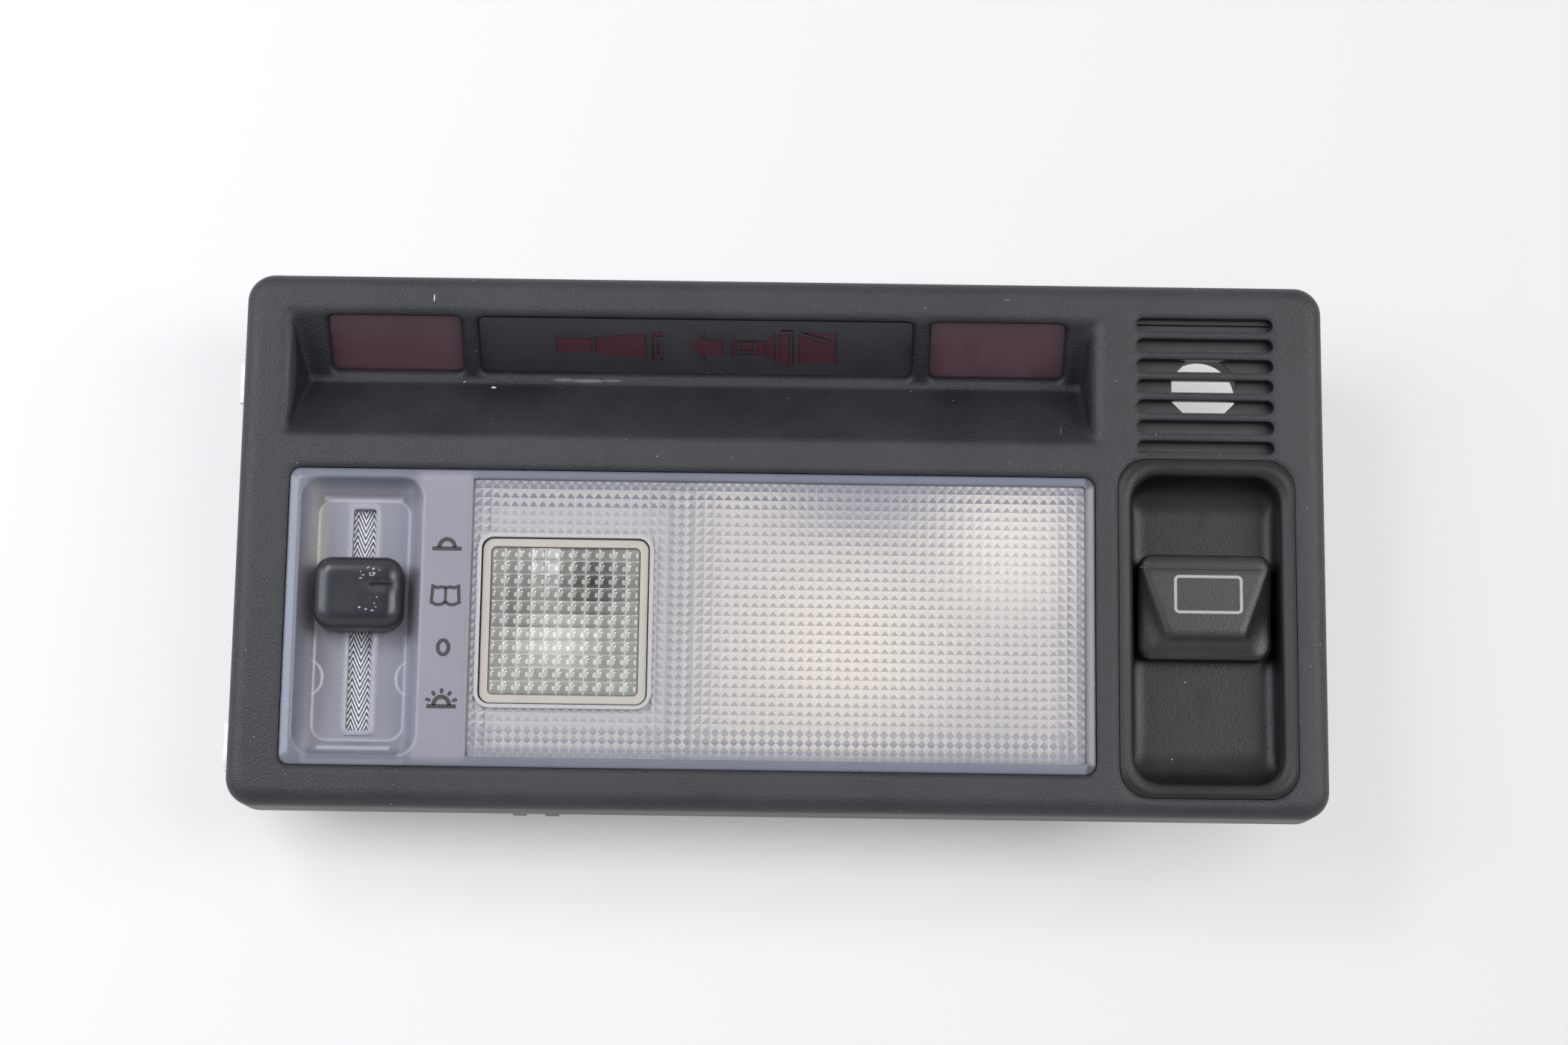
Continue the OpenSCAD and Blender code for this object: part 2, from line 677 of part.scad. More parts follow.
// Twist-lock bulb holder that fills a hole in a wall from behind
module holder(r, flange, t, bulb) {
    translate([0, 0, -1.6]) cylinder(h = 1.6, r = flange);
    difference() {
        cylinder(h = t + 3, r = r - 0.1);
        translate([0, 0, t + 0.2]) cylinder(h = 5, r = bulb + 0.1);
    }
    translate([0, 0, -3.6]) difference() {
        cylinder(h = 2, r = flange - 1.5);
        for (x = [-1, 1]) translate([x * flange, 0, 1]) cube([flange, 2 * flange, 4], center = true);
    }
}

module display_holders() {
    placed() color("#3a3a3c") for (x = box_bulbs) translate([x, box_bulb_y, box_rear_z])
        holder(box_hole_r, box_hole_r + 1.2, box_t, small_bulb_r);
}

// Small capless bulb: flat foot, glass and domed top
module capless_bulb(r, h) {
    rotate_extrude() {
        square([0.6 * r, 1.4]);
        translate([0, 1.2]) square([r, h - r - 1.2]);
        intersection() {
            translate([0, h - r]) circle(r);
            translate([0, h - r - 0.1]) square([r, r + 0.2]);
        }
    }
}

module display_bulbs() {
    placed() color("#dfe3e2") for (x = box_bulbs) translate([x, box_bulb_y, box_rear_z + box_t + 0.2])
        capless_bulb(small_bulb_r, 9);
}

module display_screws() {
    placed() color("#8d8f92") for (x = box_ear_x) translate([x, boss_y, 0])
        screw(box_lid_z - ear_t - 1.8, box_lid_z + 8);
}

// Frustum that the slide tub is cut from, grown by t on all sides
module tub(t, z0, z1) {
    hull() {
        translate([slot_x, tub_y, 0])
            plate(tub_w + 2 * t, tub_l + 2 * t, 3 + t, z0, z0 + eps, $fn = 32);
        translate([slot_x, tub_y + 0.2, 0])
            plate(tub_w + 2 * tub_slope + 2 * t, tub_l + 2.35 * tub_slope + 2 * t, 4 + t,
                  z1 - eps, z1, $fn = 32);
    }
}

module dome_lens() {
    prism_x0 = lens_left + prism_in_x;
    prism_x1 = lens_left + lens_w - lens_bevel - 2;
    rows = floor((lens_h - 2 * lens_wall) / prism_pitch + 0.01);
    border_out = frame_w + 0.6 + 2 * border_w;
    placed() color([0.82, 0.84, 0.87, 0.6]) difference() {
        union() {
            translate([lens_x, lens_y, 0]) {
                difference() {
                    union() {
                        plate(body_w, body_h, lens_r + lens_flange, flange_z, plate_z);
                        plate(lens_w, lens_h, lens_r, flange_z, lens_z - bevel_drop);
                        hull() {
                            plate(lens_w, lens_h, lens_r, lens_z - bevel_drop - eps, lens_z - bevel_drop,
                                  $fn = 32);
                            plate(lens_w - 2 * lens_bevel, lens_h - 2 * lens_bevel, 0.8,
                                  lens_z - eps, lens_z, $fn = 32);
                        }
                    }
                    plate(lens_w - 2 * lens_wall, lens_h - 2 * lens_wall, 1, flange_z - 1, lens_under_z);
                }
            }
            tub(tub_t, tub_under_z, lens_z - bevel_drop - 0.1);
            translate([reading_x, reading_y, 0])
                plate(border_out, border_out, 3, lens_under_z, lens_z + 0.4);
        }
        difference() {
            tub(0, tub_z, lens_z + eps);
            translate([slot_x, tub_y, 0])
                plate(slot_w + 1.6, slot_l + 1.6, 1, tub_z - 1, tub_z + slot_rim);
        }
        translate([slot_x, tub_y, 0]) plate(slot_w, slot_l, 0.5, tub_under_z - 1, face_z);
        translate([reading_x, reading_y, 0])
            plate(frame_w + 0.5, frame_w + 0.5, 2.2, flange_z, lens_z + 1);
        for (i = [0:rows - 1])
            translate([0, lens_y + (i - (rows - 1) / 2) * prism_pitch, lens_under_z - eps])
                along_x(prism_x0, prism_x1)
                    polygon([[-prism_pitch / 2, 0], [prism_pitch / 2, 0], [0, prism_depth]]);
    }
}

module reading_lens() {
    pitch = optic_w / optic_cells;
    inside = optic_w - 0.2;
    placed() color([0.9, 0.92, 0.9, 0.5]) translate([reading_x, reading_y, 0]) difference() {
        plate(inside, inside, 0.8, face_z - optic_t, face_z);
        for (i = [1:optic_cells - 1], a = [0, 90]) rotate([0, 0, a])
            translate([0, (i - optic_cells / 2) * pitch, face_z - 0.35])
                along_x(-optic_w, optic_w) polygon([[0, 0], [0.45, 0.4], [-0.45, 0.4]]);
    }
}

module bucket(t) {
    mouth = optic_w - 2 + 2 * t;
    hull() {
        plate(mouth, mouth, 2 + t, face_z - optic_t - 1 - eps, face_z - optic_t - 1, $fn = 32);
        translate([0, 0, floor_z + 4 - t]) cylinder(h = eps, r = 9 + t, $fn = 32);
    }
}

module reading_reflector() {
    placed() color("#c9c6b8") translate([reading_x, reading_y, 0]) difference() {
        union() {
            plate(frame_w, frame_w, 2, flange_z, face_z);
            plate(frame_w + 3, frame_w + 3, 2, flange_z, lens_under_z);
            bucket(1);
        }
        plate(optic_w, optic_w, 1, face_z - optic_t, face_z + 1);
        translate([0, 0, eps]) plate(optic_w - 2, optic_w - 2, 2, face_z - optic_t - 1.1, face_z + 1);
        bucket(0);
        translate([0, 0, floor_z]) cylinder(h = 6, r = 6);
    }
}

module reading_bulb() {
    placed() color("#e3e6e4") translate([reading_x, reading_y, floor_z + 4.2]) capless_bulb(4, 15);
}

module reading_holder() {
    placed() color("#33343a") translate([reading_x, reading_y, floor_up]) {
        translate([0, 0, -1.6]) cylinder(h = 1.6, r = 10);
        difference() {
            cylinder(h = body_t + 5.6, r = 5.6);
            translate([0, 0, body_t + 4]) cylinder(h = 5, r = 4.1);
        }
        cylinder(h = body_t, r = 7.4);
        translate([0, 0, -3.4]) difference() {
            cylinder(h = 3.4, r = 7);
            for (x = [-1, 1]) translate([x * 6, 0, 0.8]) cube([7, 20, 4], center = true);
        }
    }
}

module slide_knob() {
    knob_z = tub_z + slot_rim + 0.3;
    knob_top = face_z + knob_up;
    foot_h = 1.2;
    line_x = 2.4;
    line_y = 1.3;
    line_w = 0.7;
    line_deep = 0.6;
    placed() color("#17181b") translate([slot_x, home_y, 0]) difference() {
        union() {
            soft_block(knob_w, knob_l, 3.4, 2.6, knob_z + foot_h, knob_top);
            plate(knob_w - 1.4, knob_l - 1.4, 2.7, knob_z, knob_z + foot_h + eps);
            plate(slot_w - 1.2, stem_len, 0.4, tub_under_z + 0.2, knob_z + 0.5);
            plate(blade_t, blade_l, 0.2, carrier_z - 2.4, tub_z);
        }
        translate([0, line_y, knob_top - line_deep + 1])
            along_x(line_x, knob_w) square([line_w, 2], center = true);
    }
}

module slot_tape() {
    placed() color("#c4c6cc") translate([slot_x, tub_y, 0]) difference() {
        plate(tape_w, slot_l + 5, 0.3, tape_z, tub_under_z);
        plate(slit_w, slot_l, 0.3, tape_z - 1, tub_under_z + 1);
    }
}

module slide_carrier() {
    placed() color("#e6e3da") translate([slot_x, home_y, 0]) difference() {
        union() {
            plate(carrier_w, carrier_w, 0.8, carrier_z - carrier_t, carrier_z);
            translate([carrier_w / 2 - 0.3, 0, carrier_z - 1.7]) cylinder(h = 1.7, r = 1);
        }
        plate(blade_t, blade_l, 0.2, carrier_z - 2.4, carrier_z + 1);
        for (x = [-4.6, 4.6]) translate([x, 0, 0])
            plate(2.4, 9, 0.5, carrier_z - carrier_t - 1, carrier_z - carrier_t + 0.9);
    }
}

module slide_contact() {
    top_z = carrier_z - carrier_t;
    foot_z = deck_up + rail_t + 0.1;
    h = top_z - foot_z;
    placed() color("#b8934a") translate([slot_x, home_y, foot_z]) along_x(-4.2, 4.2) polygon([
        [-4.5, h], [4.5, h], [4.5, h - contact_t], [3.6, 0.1], [2.6, 0], [2.6, 0.5], [3.1, 0.6],
        [3.6, h - contact_t], [-3.6, h - contact_t], [-3.1, 0.6], [-2.6, 0.5], [-2.6, 0], [-3.6, 0.1],
        [-4.5, h - contact_t]]);
}

module contact_rails() {
    rail_low = -slot_l / 2 - 1.9;
    rail_high = slot_l / 2 - 0.1;
    ends = [[rail_low, rail_high], [rail_low, 2], [-6, rail_high]];
    placed() color("#b8934a") for (i = [0:2]) {
        x = slot_x + (i - 1) * 2.8;
        translate([x - rail_w / 2, tub_y + ends[i].x, deck_up])
            cube([rail_w, ends[i].y - ends[i].x, rail_t]);
    }
}

// Spring strip beside the carrier with four hollows that its nub drops into
module detent_strip() {
    crest = carrier_w / 2 + 0.9;
    t = 0.4;
    n = 66;
    y0 = home_y - 3 * step_y;
    wave = [for (i = [0:n]) let (y = y0 + i * 5 * step_y / n)
        [slot_x + crest + 0.35 * (1 + cos((y - home_y) * 360 / step_y)), y]];
    placed() color("#9fa3a8") translate([0, 0, carrier_z - 1.7]) linear_extrude(1.6)
        polygon(concat(wave, [for (i = [n:-1:0]) wave[i] + [t, 0]]));
}

module body_ear(x, y, side) {
    translate([x, y, ear_z]) linear_extrude(ear_t) {
        circle(boss_r);
        translate([-boss_r, side > 0 ? -boss_r - 0.6 : 0]) square([2 * boss_r, boss_r + 0.6]);
    }
}

module lamp_body() {
    depth = flange_z;
    crest = carrier_w / 2 + 0.9;
    guide_w = 1.4;
    guide_x = carrier_w / 2 + guide_gap + guide_w / 2;
    placed() color("#dcdad2") difference() {
        union() {
            difference() {
                translate([lens_x, lens_y, 0]) plate(body_w, body_h, lens_r + lens_flange, 0, depth);
                translate([lens_x, lens_y, 0])
                    plate(body_w - 2 * body_t, body_h - 2 * body_t, 1.4, floor_z, depth + 1);
                translate([lens_x, lens_y, 0])
                    plate(body_w - 2 * body_t, body_h - 2 * body_t, 1.4, -1, floor_up);
            }
            for (x = [split_x, divider_x - divider_t]) translate([x, body_low + 1, floor_up])
                cube([divider_t, body_h - 2, flange_z - floor_up]);
            translate([divider_x - divider_t, lens_y - lens_h / 2 + lens_wall + 0.2, flange_z - 1])
                cube([divider_t, lens_h - 2 * lens_wall - 0.4, lens_under_z - flange_z + 1]);
            // Deck of the slide switch on its two side walls, with guides for the carrier
            translate([body_left + 1, body_low + 1, deck_up - body_t])
                cube([split_x - body_left, body_h - 2, body_t]);
            for (side = [-1, 1])
                translate([slot_x + side * guide_x - guide_w / 2, body_low + 1, deck_up - eps])
                    cube([guide_w, body_h - 2, carrier_z - 2 - deck_up]);
            for (y = [home_y - 3 * step_y, home_y + 2 * step_y - 2.2])
                translate([slot_x + crest + 1.1, y, deck_up - eps])
                    cube([3, 2.2, carrier_z - deck_up]);
            // Socket for the connector, open to the rear
            translate([socket_x, socket_y, 0])
                plate(socket_w + 2 * socket_t, socket_h + 2 * socket_t, 1.5, 0, socket_z + socket_t);
            for (x = ear_x) {
                body_ear(x, ear_low, -1);
                body_ear(x, ear_high, 1);
            }
        }
        translate([socket_x, socket_y, 0]) plate(socket_w, socket_h, 0.6, -1, socket_z);
        for (i = [0:4]) translate([socket_x + (i - 2) * 4.4, socket_y + 3.6, socket_z - 1])
            cube([2.9, 0.9, 6], center = true);
        translate([reading_x, reading_y, floor_up - 1]) cylinder(h = body_t + 2, r = 7.5);
        for (x = ear_x, y = [ear_low, ear_high]) translate([x, y, ear_z - 1])
            cylinder(h = ear_t + 2, r = screw_r + screw_gap);
    }
}

module connector_pins() {
    placed() color("#c8a45a") for (i = [0:4])
        translate([socket_x + (i - 2) * 4.4 - 1.4, socket_y + 3.2, 2.5]) cube([2.8, 0.8, socket_z + 3]);
}

module lamp_screws() {
    placed() color("#8d8f92") for (x = ear_x, y = [ear_low, ear_high]) translate([x, y, 0])
        screw(ear_z - 1.8, plate_z - 2.8);
}

// White tub around the festoon bulb, grown by t
module dome_tub(t) {
    lean = 5;
    hull() {
        translate([dome_x, lens_y, 0])
            plate(dome_w - 2 + 2 * t, body_h - 8 + 2 * t, 3 + t,
                  flange_z - 1.4, flange_z - 1.4 + eps, $fn = 32);
        translate([dome_x, lens_y, 0])
            plate(dome_w - 2 - 2 * lean + 2 * t, body_h - 8 - 12 + 2 * t, 8,
                  floor_z + 4 - t, floor_z + 4 - t + eps, $fn = 32);
    }
}

module dome_reflector() {
    placed() color("#f1f0ea") difference() {
        union() {
            dome_tub(1);
            translate([dome_x, lens_y, 0])
                plate(dome_w, body_h - 2 * body_t - 0.8, 2, flange_z - 1.4, flange_z);
        }
        translate([0, 0, eps]) dome_tub(0);
        translate([dome_x, lens_y, 0])
            plate(dome_w - 2, body_h - 8, 3, flange_z - 1.4 - eps, flange_z + 1);
        for (side = [-1, 1]) translate([dome_x + side * contact_x, lens_y, floor_z + 3])
            cube([2.4, contact_w + 1, 6], center = true);
    }
}

module festoon_bulb() {
    glass = bulb_l / 2 - 7;
    placed() color("#d9dcdb") translate([dome_x, lens_y, bulb_up]) rotate([0, 90, 0]) rotate_extrude()
        polygon(concat([[0, -bulb_l / 2], [1, -bulb_l / 2], [3.2, -bulb_l / 2 + 2.2], [3.5, -glass - 1]],
            [for (a = [-60:15:60]) [bulb_r * (0.55 + 0.45 * cos(a * 1.5)), glass * a / 60]],
            [[3.5, glass + 1], [3.2, bulb_l / 2 - 2.2], [1, bulb_l / 2], [0, bulb_l / 2]]));
}

// Bent brass strip with a hole that the bulb's cap sits in
module festoon_contact(side) {
    t = 0.6;
    placed() color("#b8934a") translate([dome_x + side * contact_x, lens_y, 0]) difference() {
        union() {
            translate([-t / 2 + side * 0.3, -contact_w / 2, floor_z])
                cube([t, contact_w, bulb_up + 5 - floor_z]);
            translate([side > 0 ? 0 : -5, -contact_w / 2, floor_z]) cube([5, contact_w, t]);
        }
        translate([-3, 0, bulb_up]) rotate([0, 90, 0]) cylinder(h = 6, r = 2.6);
    }
}

module festoon_contact_left() {
    festoon_contact(-1);
}

module festoon_contact_right() {
    festoon_contact(1);
}

// Finger recess: lips at the face, filleted sides and a floor that curves up at both ends
module well_hollow() {
    intersection() {
        translate([0, tray_y, 0]) along_x(tray_x - tray_w / 2, tray_x + tray_w / 2)
            polygon(well_profile(well_h / 2, well_scoop));
        translate([tray_x, 0, 0]) along_y(tray_y - tray_h / 2, tray_y + tray_h / 2)
            polygon(well_profile(well_w / 2, well_fillet));
        translate([tray_x, tray_y, 0]) {
            plate(well_w, well_h, well_r, well_z - 1, face_z + 1);
            well_mouth();
        }
    }
}

// Section through the recess, wider where its lip begins
function well_profile(half, r) =
    let (wide = half + well_lip + 1, lip_z = face_z - well_lip)
    rounded([[-wide, face_z + 2, 0], [-wide, lip_z, 0], [-half, lip_z, 0], [-half, well_z, r],
             [half, well_z, r], [half, lip_z, 0], [wide, lip_z, 0], [wide, face_z + 2, 0]]);

// Flare of the recess at the face, an arc in four steps
module well_mouth() {
    n = 4;
    for (i = [0:n - 1]) hull() for (a = [i * 90 / n, (i + 1) * 90 / n]) {
        out = well_lip * (1 - cos(a));
        z = face_z - well_lip * (1 - sin(a));
        plate(well_w + 2 * out, well_h + 2 * out, well_r + out, z, z + eps, $fn = 32);
    }
}

// Outside of the recess behind the face
module well_back() {
    y0 = tray_y - well_h / 2 - tray_t;
    y1 = tray_y + well_h / 2 + tray_t;
    r = well_scoop + tray_t - 1;
    intersection() {
        along_x(tray_x - tray_w / 2, tray_x + tray_w / 2) polygon(rounded([
            [y0, plate_z, 0], [y0, tray_under_z, r], [y1, tray_under_z, r], [y1, plate_z, 0]]));
        translate([tray_x, tray_y, 0])
            plate(well_w + 2 * tray_t, well_h + 2 * tray_t, well_r + tray_t, tray_under_z, plate_z);
    }
}

module switch_tray() {
    placed() color("#29292b") difference() {
        union() {
            translate([tray_x, tray_y, 0]) plate(tray_w, tray_h, tray_r, flange_z, face_z);
            translate([tray_x, tray_y - lens_flange / 2, 0])
                plate(tray_w + 2 * lens_flange, tray_h + lens_flange - 0.4, tray_r, flange_z, plate_z);
            well_back();
            for (y = [-1, 1]) translate([tray_x, cap_y + y * ear_y, tray_under_z - tray_boss])
                cylinder(h = tray_boss + 0.8, r = 2.6);
        }
        well_hollow();
        translate([tray_x, cap_y, 0])
            plate(stem_w + 1, stem_l + 2 * stem_play, 1, tray_under_z - 1, well_z + 1);
        for (y = [-1, 1]) translate([tray_x, cap_y + y * ear_y, tray_under_z - tray_boss - 1])
            cylinder(h = tray_boss + 1.8, r = screw_r + screw_gap);
    }
}

// Concave cut outwards of the line from p to q in the top of the rocker
module cap_scoop(p, q, reach, drop, z) {
    r = (reach * reach + drop * drop) / (2 * drop);
    translate([p.x, p.y, z]) rotate([0, 0, atan2(q.y - p.y, q.x - p.x)]) translate([-3, reach, r - drop])
        rotate([0, 90, 0]) cylinder(h = norm(q - p) + 6, r = r);
}

module rocker_cap() {
    field_z = cap_top_z - 0.3;
    drop = 2.5;
    far = [cap_w / 2 - 1, cap_l / 2 - 3];
    near = [7, -5.6];
    placed() color("#303032") translate([tray_x, cap_y, 0]) difference() {
        union() {
            difference() {
                soft_block(cap_w, cap_l, 2.5, 1.4, cap_z, field_z);
                cap_scoop(far, near, 5.2, drop, field_z);
                cap_scoop(near, [-near.x, near.y], cap_l / 2 + near.y, drop, field_z);
                cap_scoop([-near.x, near.y], [-far.x, far.y], 5.2, drop, field_z);
            }
            translate([0, cap_l / 2 - 2.2, 0]) plate(cap_w - 3, 1.5, 0.6, field_z - 1, cap_top_z);
            translate([-stem_w / 2, -stem_l / 2, stem_low_z])
                cube([stem_w, stem_l, cap_z + 0.1 - stem_low_z]);
        }
        translate([-cap_w, 0, axis_z]) rotate([0, 90, 0]) cylinder(h = 2 * cap_w, r = pin_r + pin_gap);
        translate([0, 0, stem_low_z - 1]) cylinder(h = 6.2, r = plunger_r + 0.1);
    }
}

module rocker_pin() {
    half = body_half_x - 0.5;
    placed() color("#a9abae") translate([tray_x - half, cap_y, axis_z]) rotate([0, 90, 0])
        cylinder(h = 2 * half, r = pin_r);
}

// Round-nosed plunger in the stem that rides on the contact cradle
module rocker_plunger() {
    placed() color("#dcdad0") translate([tray_x, cap_y, axis_z - plunger_reach]) rotate_extrude() {
        translate([0, plunger_r]) square([plunger_r, 3.4]);
        intersection() {
            translate([0, plunger_r]) circle(plunger_r);
            square([plunger_r, plunger_r + 0.1]);
        }
    }
}

module plunger_spring() {
    z0 = axis_z - plunger_reach + plunger_r + 3.4;
    z1 = stem_low_z + 5.2;
    turns = 3;
    pitch = (z1 - z0) / turns;
    placed() color("#a9abae") for (i = [0:turns - 1]) translate([tray_x, cap_y, z0 + (i + 0.5) * pitch])
        rotate_extrude() translate([1.2, 0]) circle(min(0.25, pitch / 2), $fn = 16);
}

module switch_body() {
    placed() color("#26272a") translate([tray_x, cap_y, 0]) difference() {
        union() {
            plate(2 * body_half_x, 2 * body_half_y, 1.5, switch_rear_z, tray_under_z);
            plate(6, 2 * ear_y + 5, 2.4, tray_under_z - tray_boss - ear_t, tray_under_z - tray_boss);
        }
        translate([0, 0, axis_z]) along_x(-cavity_half_x, cavity_half_x) {
            circle(cradle_r + cradle_t);
            translate([-cavity_half_x, 0]) square([2 * cavity_half_x, 20]);
        }
        translate([-body_half_x - 1, 0, axis_z]) rotate([0, 90, 0])
            cylinder(h = 2 * body_half_x + 2, r = pin_r + 0.02);
        for (i = [-1:1]) translate([0, 6 * i, 0]) translate([-blade_w / 2, -0.4, switch_rear_z - 1])
            cube([blade_w, 0.8, axis_z - switch_rear_z - 5]);
        for (y = [-1, 1]) translate([0, y * ear_y, tray_under_z - tray_boss - ear_t - 1])
            cylinder(h = ear_t + 2, r = screw_r + screw_gap);
    }
}

// Curved contact on the cradle with the flat blade that leaves through the rear
module switch_contacts() {
    sectors = [[-40, -12], [-8, 8], [12, 40]];
    reach = 20;
    mid_r = cradle_r + cradle_t / 2;
    placed() color("#b8934a") for (i = [0:2])
        translate([tray_x, cap_y, axis_z]) along_x(-blade_w / 2, blade_w / 2) {
            from = sectors[i].x;
            to = sectors[i].y;
            intersection() {
                difference() {
                    circle(cradle_r + cradle_t);
                    circle(cradle_r);
                }
                polygon([[0, 0], reach * [sin(from), -cos(from)], reach * [sin(to), -cos(to)]]);
            }
            translate([6 * (i - 1) - 0.4, 1 - axis_z])
                square([0.8, axis_z - 1 - sqrt(pow(mid_r, 2) - pow(6 * (i - 1), 2))]);
        }
}

module switch_screws() {
    placed() color("#8d8f92") for (y = [-1, 1]) translate([tray_x, cap_y + y * ear_y, 0])
        screw(tray_under_z - tray_boss - ear_t - 1.8, tray_under_z + 0.5);
}

module sensor_duct() {
    half_x = tray_w / 2 - 0.95;
    half_y = 13.6;
    lip = 0.8;
    mouth_t = 1.6;
    mouth_z = plate_z - lip - mouth_t;
    rear_z = face_z - duct_depth;
    placed() color("#1f2022") translate([tray_x, grille_y, 0]) difference() {
        union() {
            plate(2 * half_x, 2 * half_y, 2, mouth_z, plate_z);
            translate([0, 0, rear_z]) cylinder(h = mouth_z - rear_z + eps, r = duct_r + 1.8);
        }
        plate(2 * half_x - 4.4, 2 * half_y - 2.4, 1, plate_z - lip, plate_z + 1);
        rotate([0, 0, 22.5]) translate([0, 0, mouth_z - 1])
            cylinder(h = mouth_t + 2, r = mouth_af / 2 / cos(22.5), $fn = 8);
        translate([0, 0, rear_z - 1]) cylinder(h = mouth_z - rear_z + 1, r = duct_r);
        for (x = [-1, 1], y = [-1, 1]) translate([peg_x * x, peg_y * y, mouth_z - 1])
            cylinder(h = 5, r = peg_r + 0.05);
    }
}

// Sprung sheet clip on the inside of the rim that bows out below its rear edge
module spring_clips() {
    x0 = left + rim_t;
    x1 = left - clip_reach;
    z = rear_depth;
    t = clip_t;
    placed() color("#a7a9ab") for (y = clip_y) along_y(y - clip_w / 2, y + clip_w / 2) polygon([
        [x0, plate_z - 1.2], [x0, z - 0.4], [x1, z - 3.2], [x1, z - 4.4], [left + 1.4, z - 10.4],
        [left + 1.4 + t, z - 10.2], [x1 + t, z - 4.2], [x1 + t, z - 3.4], [x0 + t, z - 0.9],
        [x0 + t, plate_z - 1.2]]);
}

bezel();
display_mask();
display_filter();
display_box();
display_holders();
display_bulbs();
display_screws();
dome_lens();
reading_lens();
reading_reflector();
reading_bulb();
reading_holder();
slide_knob();
slot_tape();
slide_carrier();
slide_contact();
contact_rails();
detent_strip();
lamp_body();
connector_pins();
lamp_screws();
dome_reflector();
festoon_bulb();
festoon_contact_left();
festoon_contact_right();
switch_tray();
rocker_cap();
rocker_pin();
rocker_plunger();
plunger_spring();
switch_body();
switch_contacts();
switch_screws();
sensor_duct();
spring_clips();
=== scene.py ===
# %% [markdown]
# # Dressing a car's dome light
#
# The CAD model already has every piece of this roof lamp at its real size: the moulded bezel with its
# display trough, the prismatic lens, the reading optic, the slide switch, the grille and the rocker in its
# finger recess. Blender adds what a drafting model leaves out: finishes, wear, weave, printed signs and the
# small pyramids of the lens. Everything is in metres, in the CAD model's own frame, so each new piece is
# placed from the boxes of the nodes that carry it.

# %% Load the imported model
import math
import random

import bmesh
import bpy
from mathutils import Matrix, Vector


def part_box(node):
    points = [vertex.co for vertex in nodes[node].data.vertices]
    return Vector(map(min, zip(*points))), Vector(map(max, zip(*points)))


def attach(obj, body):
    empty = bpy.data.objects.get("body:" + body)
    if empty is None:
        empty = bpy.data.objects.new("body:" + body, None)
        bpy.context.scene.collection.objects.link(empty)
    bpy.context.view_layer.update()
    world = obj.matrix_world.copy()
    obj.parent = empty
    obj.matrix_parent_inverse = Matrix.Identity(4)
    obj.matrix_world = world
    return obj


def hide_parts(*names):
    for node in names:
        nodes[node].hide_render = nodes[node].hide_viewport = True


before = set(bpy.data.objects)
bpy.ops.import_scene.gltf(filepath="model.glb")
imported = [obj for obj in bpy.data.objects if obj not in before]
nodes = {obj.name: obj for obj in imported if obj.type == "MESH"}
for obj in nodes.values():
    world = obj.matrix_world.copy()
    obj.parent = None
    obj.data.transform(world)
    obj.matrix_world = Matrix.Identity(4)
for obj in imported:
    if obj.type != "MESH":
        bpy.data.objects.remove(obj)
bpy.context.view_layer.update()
mm = 0.001
print("CAD nodes:", len(nodes))

# %% [markdown]
# ## The camera
#
# The photograph was taken from about 56 cm above the lamp's face, leaning 10.6 degrees towards its lower
# long side. A 70 mm lens on a 36 mm sensor gives the same slight convergence of the bezel's edges, with no
# shift needed.

# %% Camera
lens_data = bpy.data.cameras.new("studio_camera")
lens_data.lens = 70
lens_data.sensor_width = 36
lens_data.clip_start = 0.01
camera = bpy.data.objects.new("studio_camera", lens_data)
camera.location = (0.00339, -0.10143, 0.5989)
camera.rotation_euler = [math.radians(angle) for angle in (10.56, -0.0135, 0.7928)]
bpy.context.scene.collection.objects.link(camera)
bpy.context.scene.camera = camera
print("camera", round(camera.location.length, 3), "m from the origin")

# %% [markdown]
# ## Building shaders in code
#
# Each finish is one Principled material. A few helpers keep the node code short: one adds a node and fills
# its sockets, linking a socket where it is given another node's output; another makes an empty node group
# with named inputs and outputs, for an effect that several finishes share.

# %% Shader helpers
def add(tree, kind, inputs=None, **settings):
    """A new shader node with its settings and its input sockets filled or linked."""
    made = tree.nodes.new(kind if kind.startswith("NodeGroup") else "ShaderNode" + kind)
    for key, value in settings.items():
        setattr(made, key, value)
    for key, value in (inputs or {}).items():
        if isinstance(value, bpy.types.NodeSocket):
            tree.links.new(value, made.inputs[key])
        else:
            made.inputs[key].default_value = value
    return made


def math_node(tree, operation, first, second=0.0, clamp=False):
    """The output of one Math node."""
    return add(tree, "Math", {0: first, 1: second}, operation=operation, use_clamp=clamp).outputs[0]


def blend_colors(tree, share, below, above):
    """The output of a colour mix: above covers below by share."""
    made = add(tree, "Mix", {"Factor": share}, data_type="RGBA")
    for socket, value in ((made.inputs[6], below), (made.inputs[7], above)):
        if isinstance(value, bpy.types.NodeSocket):
            tree.links.new(value, socket)
        else:
            socket.default_value = (*value, 1)
    return made.outputs[2]


def effect_group(name, inputs, outputs):
    """An empty node group with float inputs {name: default} and the named outputs."""
    tree = bpy.data.node_groups.new(name, "ShaderNodeTree")
    for title, value in inputs.items():
        socket = tree.interface.new_socket(name=title, in_out="INPUT", socket_type="NodeSocketFloat")
        socket.default_value = value
    for title in outputs:
        tree.interface.new_socket(name=title, in_out="OUTPUT", socket_type="NodeSocketFloat")
    return tree, add(tree, "NodeGroupInput").outputs, add(tree, "NodeGroupOutput").inputs


def place_group(tree, group, values):
    """The outputs of a copy of the group in a material, with its own values."""
    made = tree.nodes.new("ShaderNodeGroup")
    made.node_tree = group
    for title, value in values.items():
        made.inputs[title].default_value = value
    return made.outputs


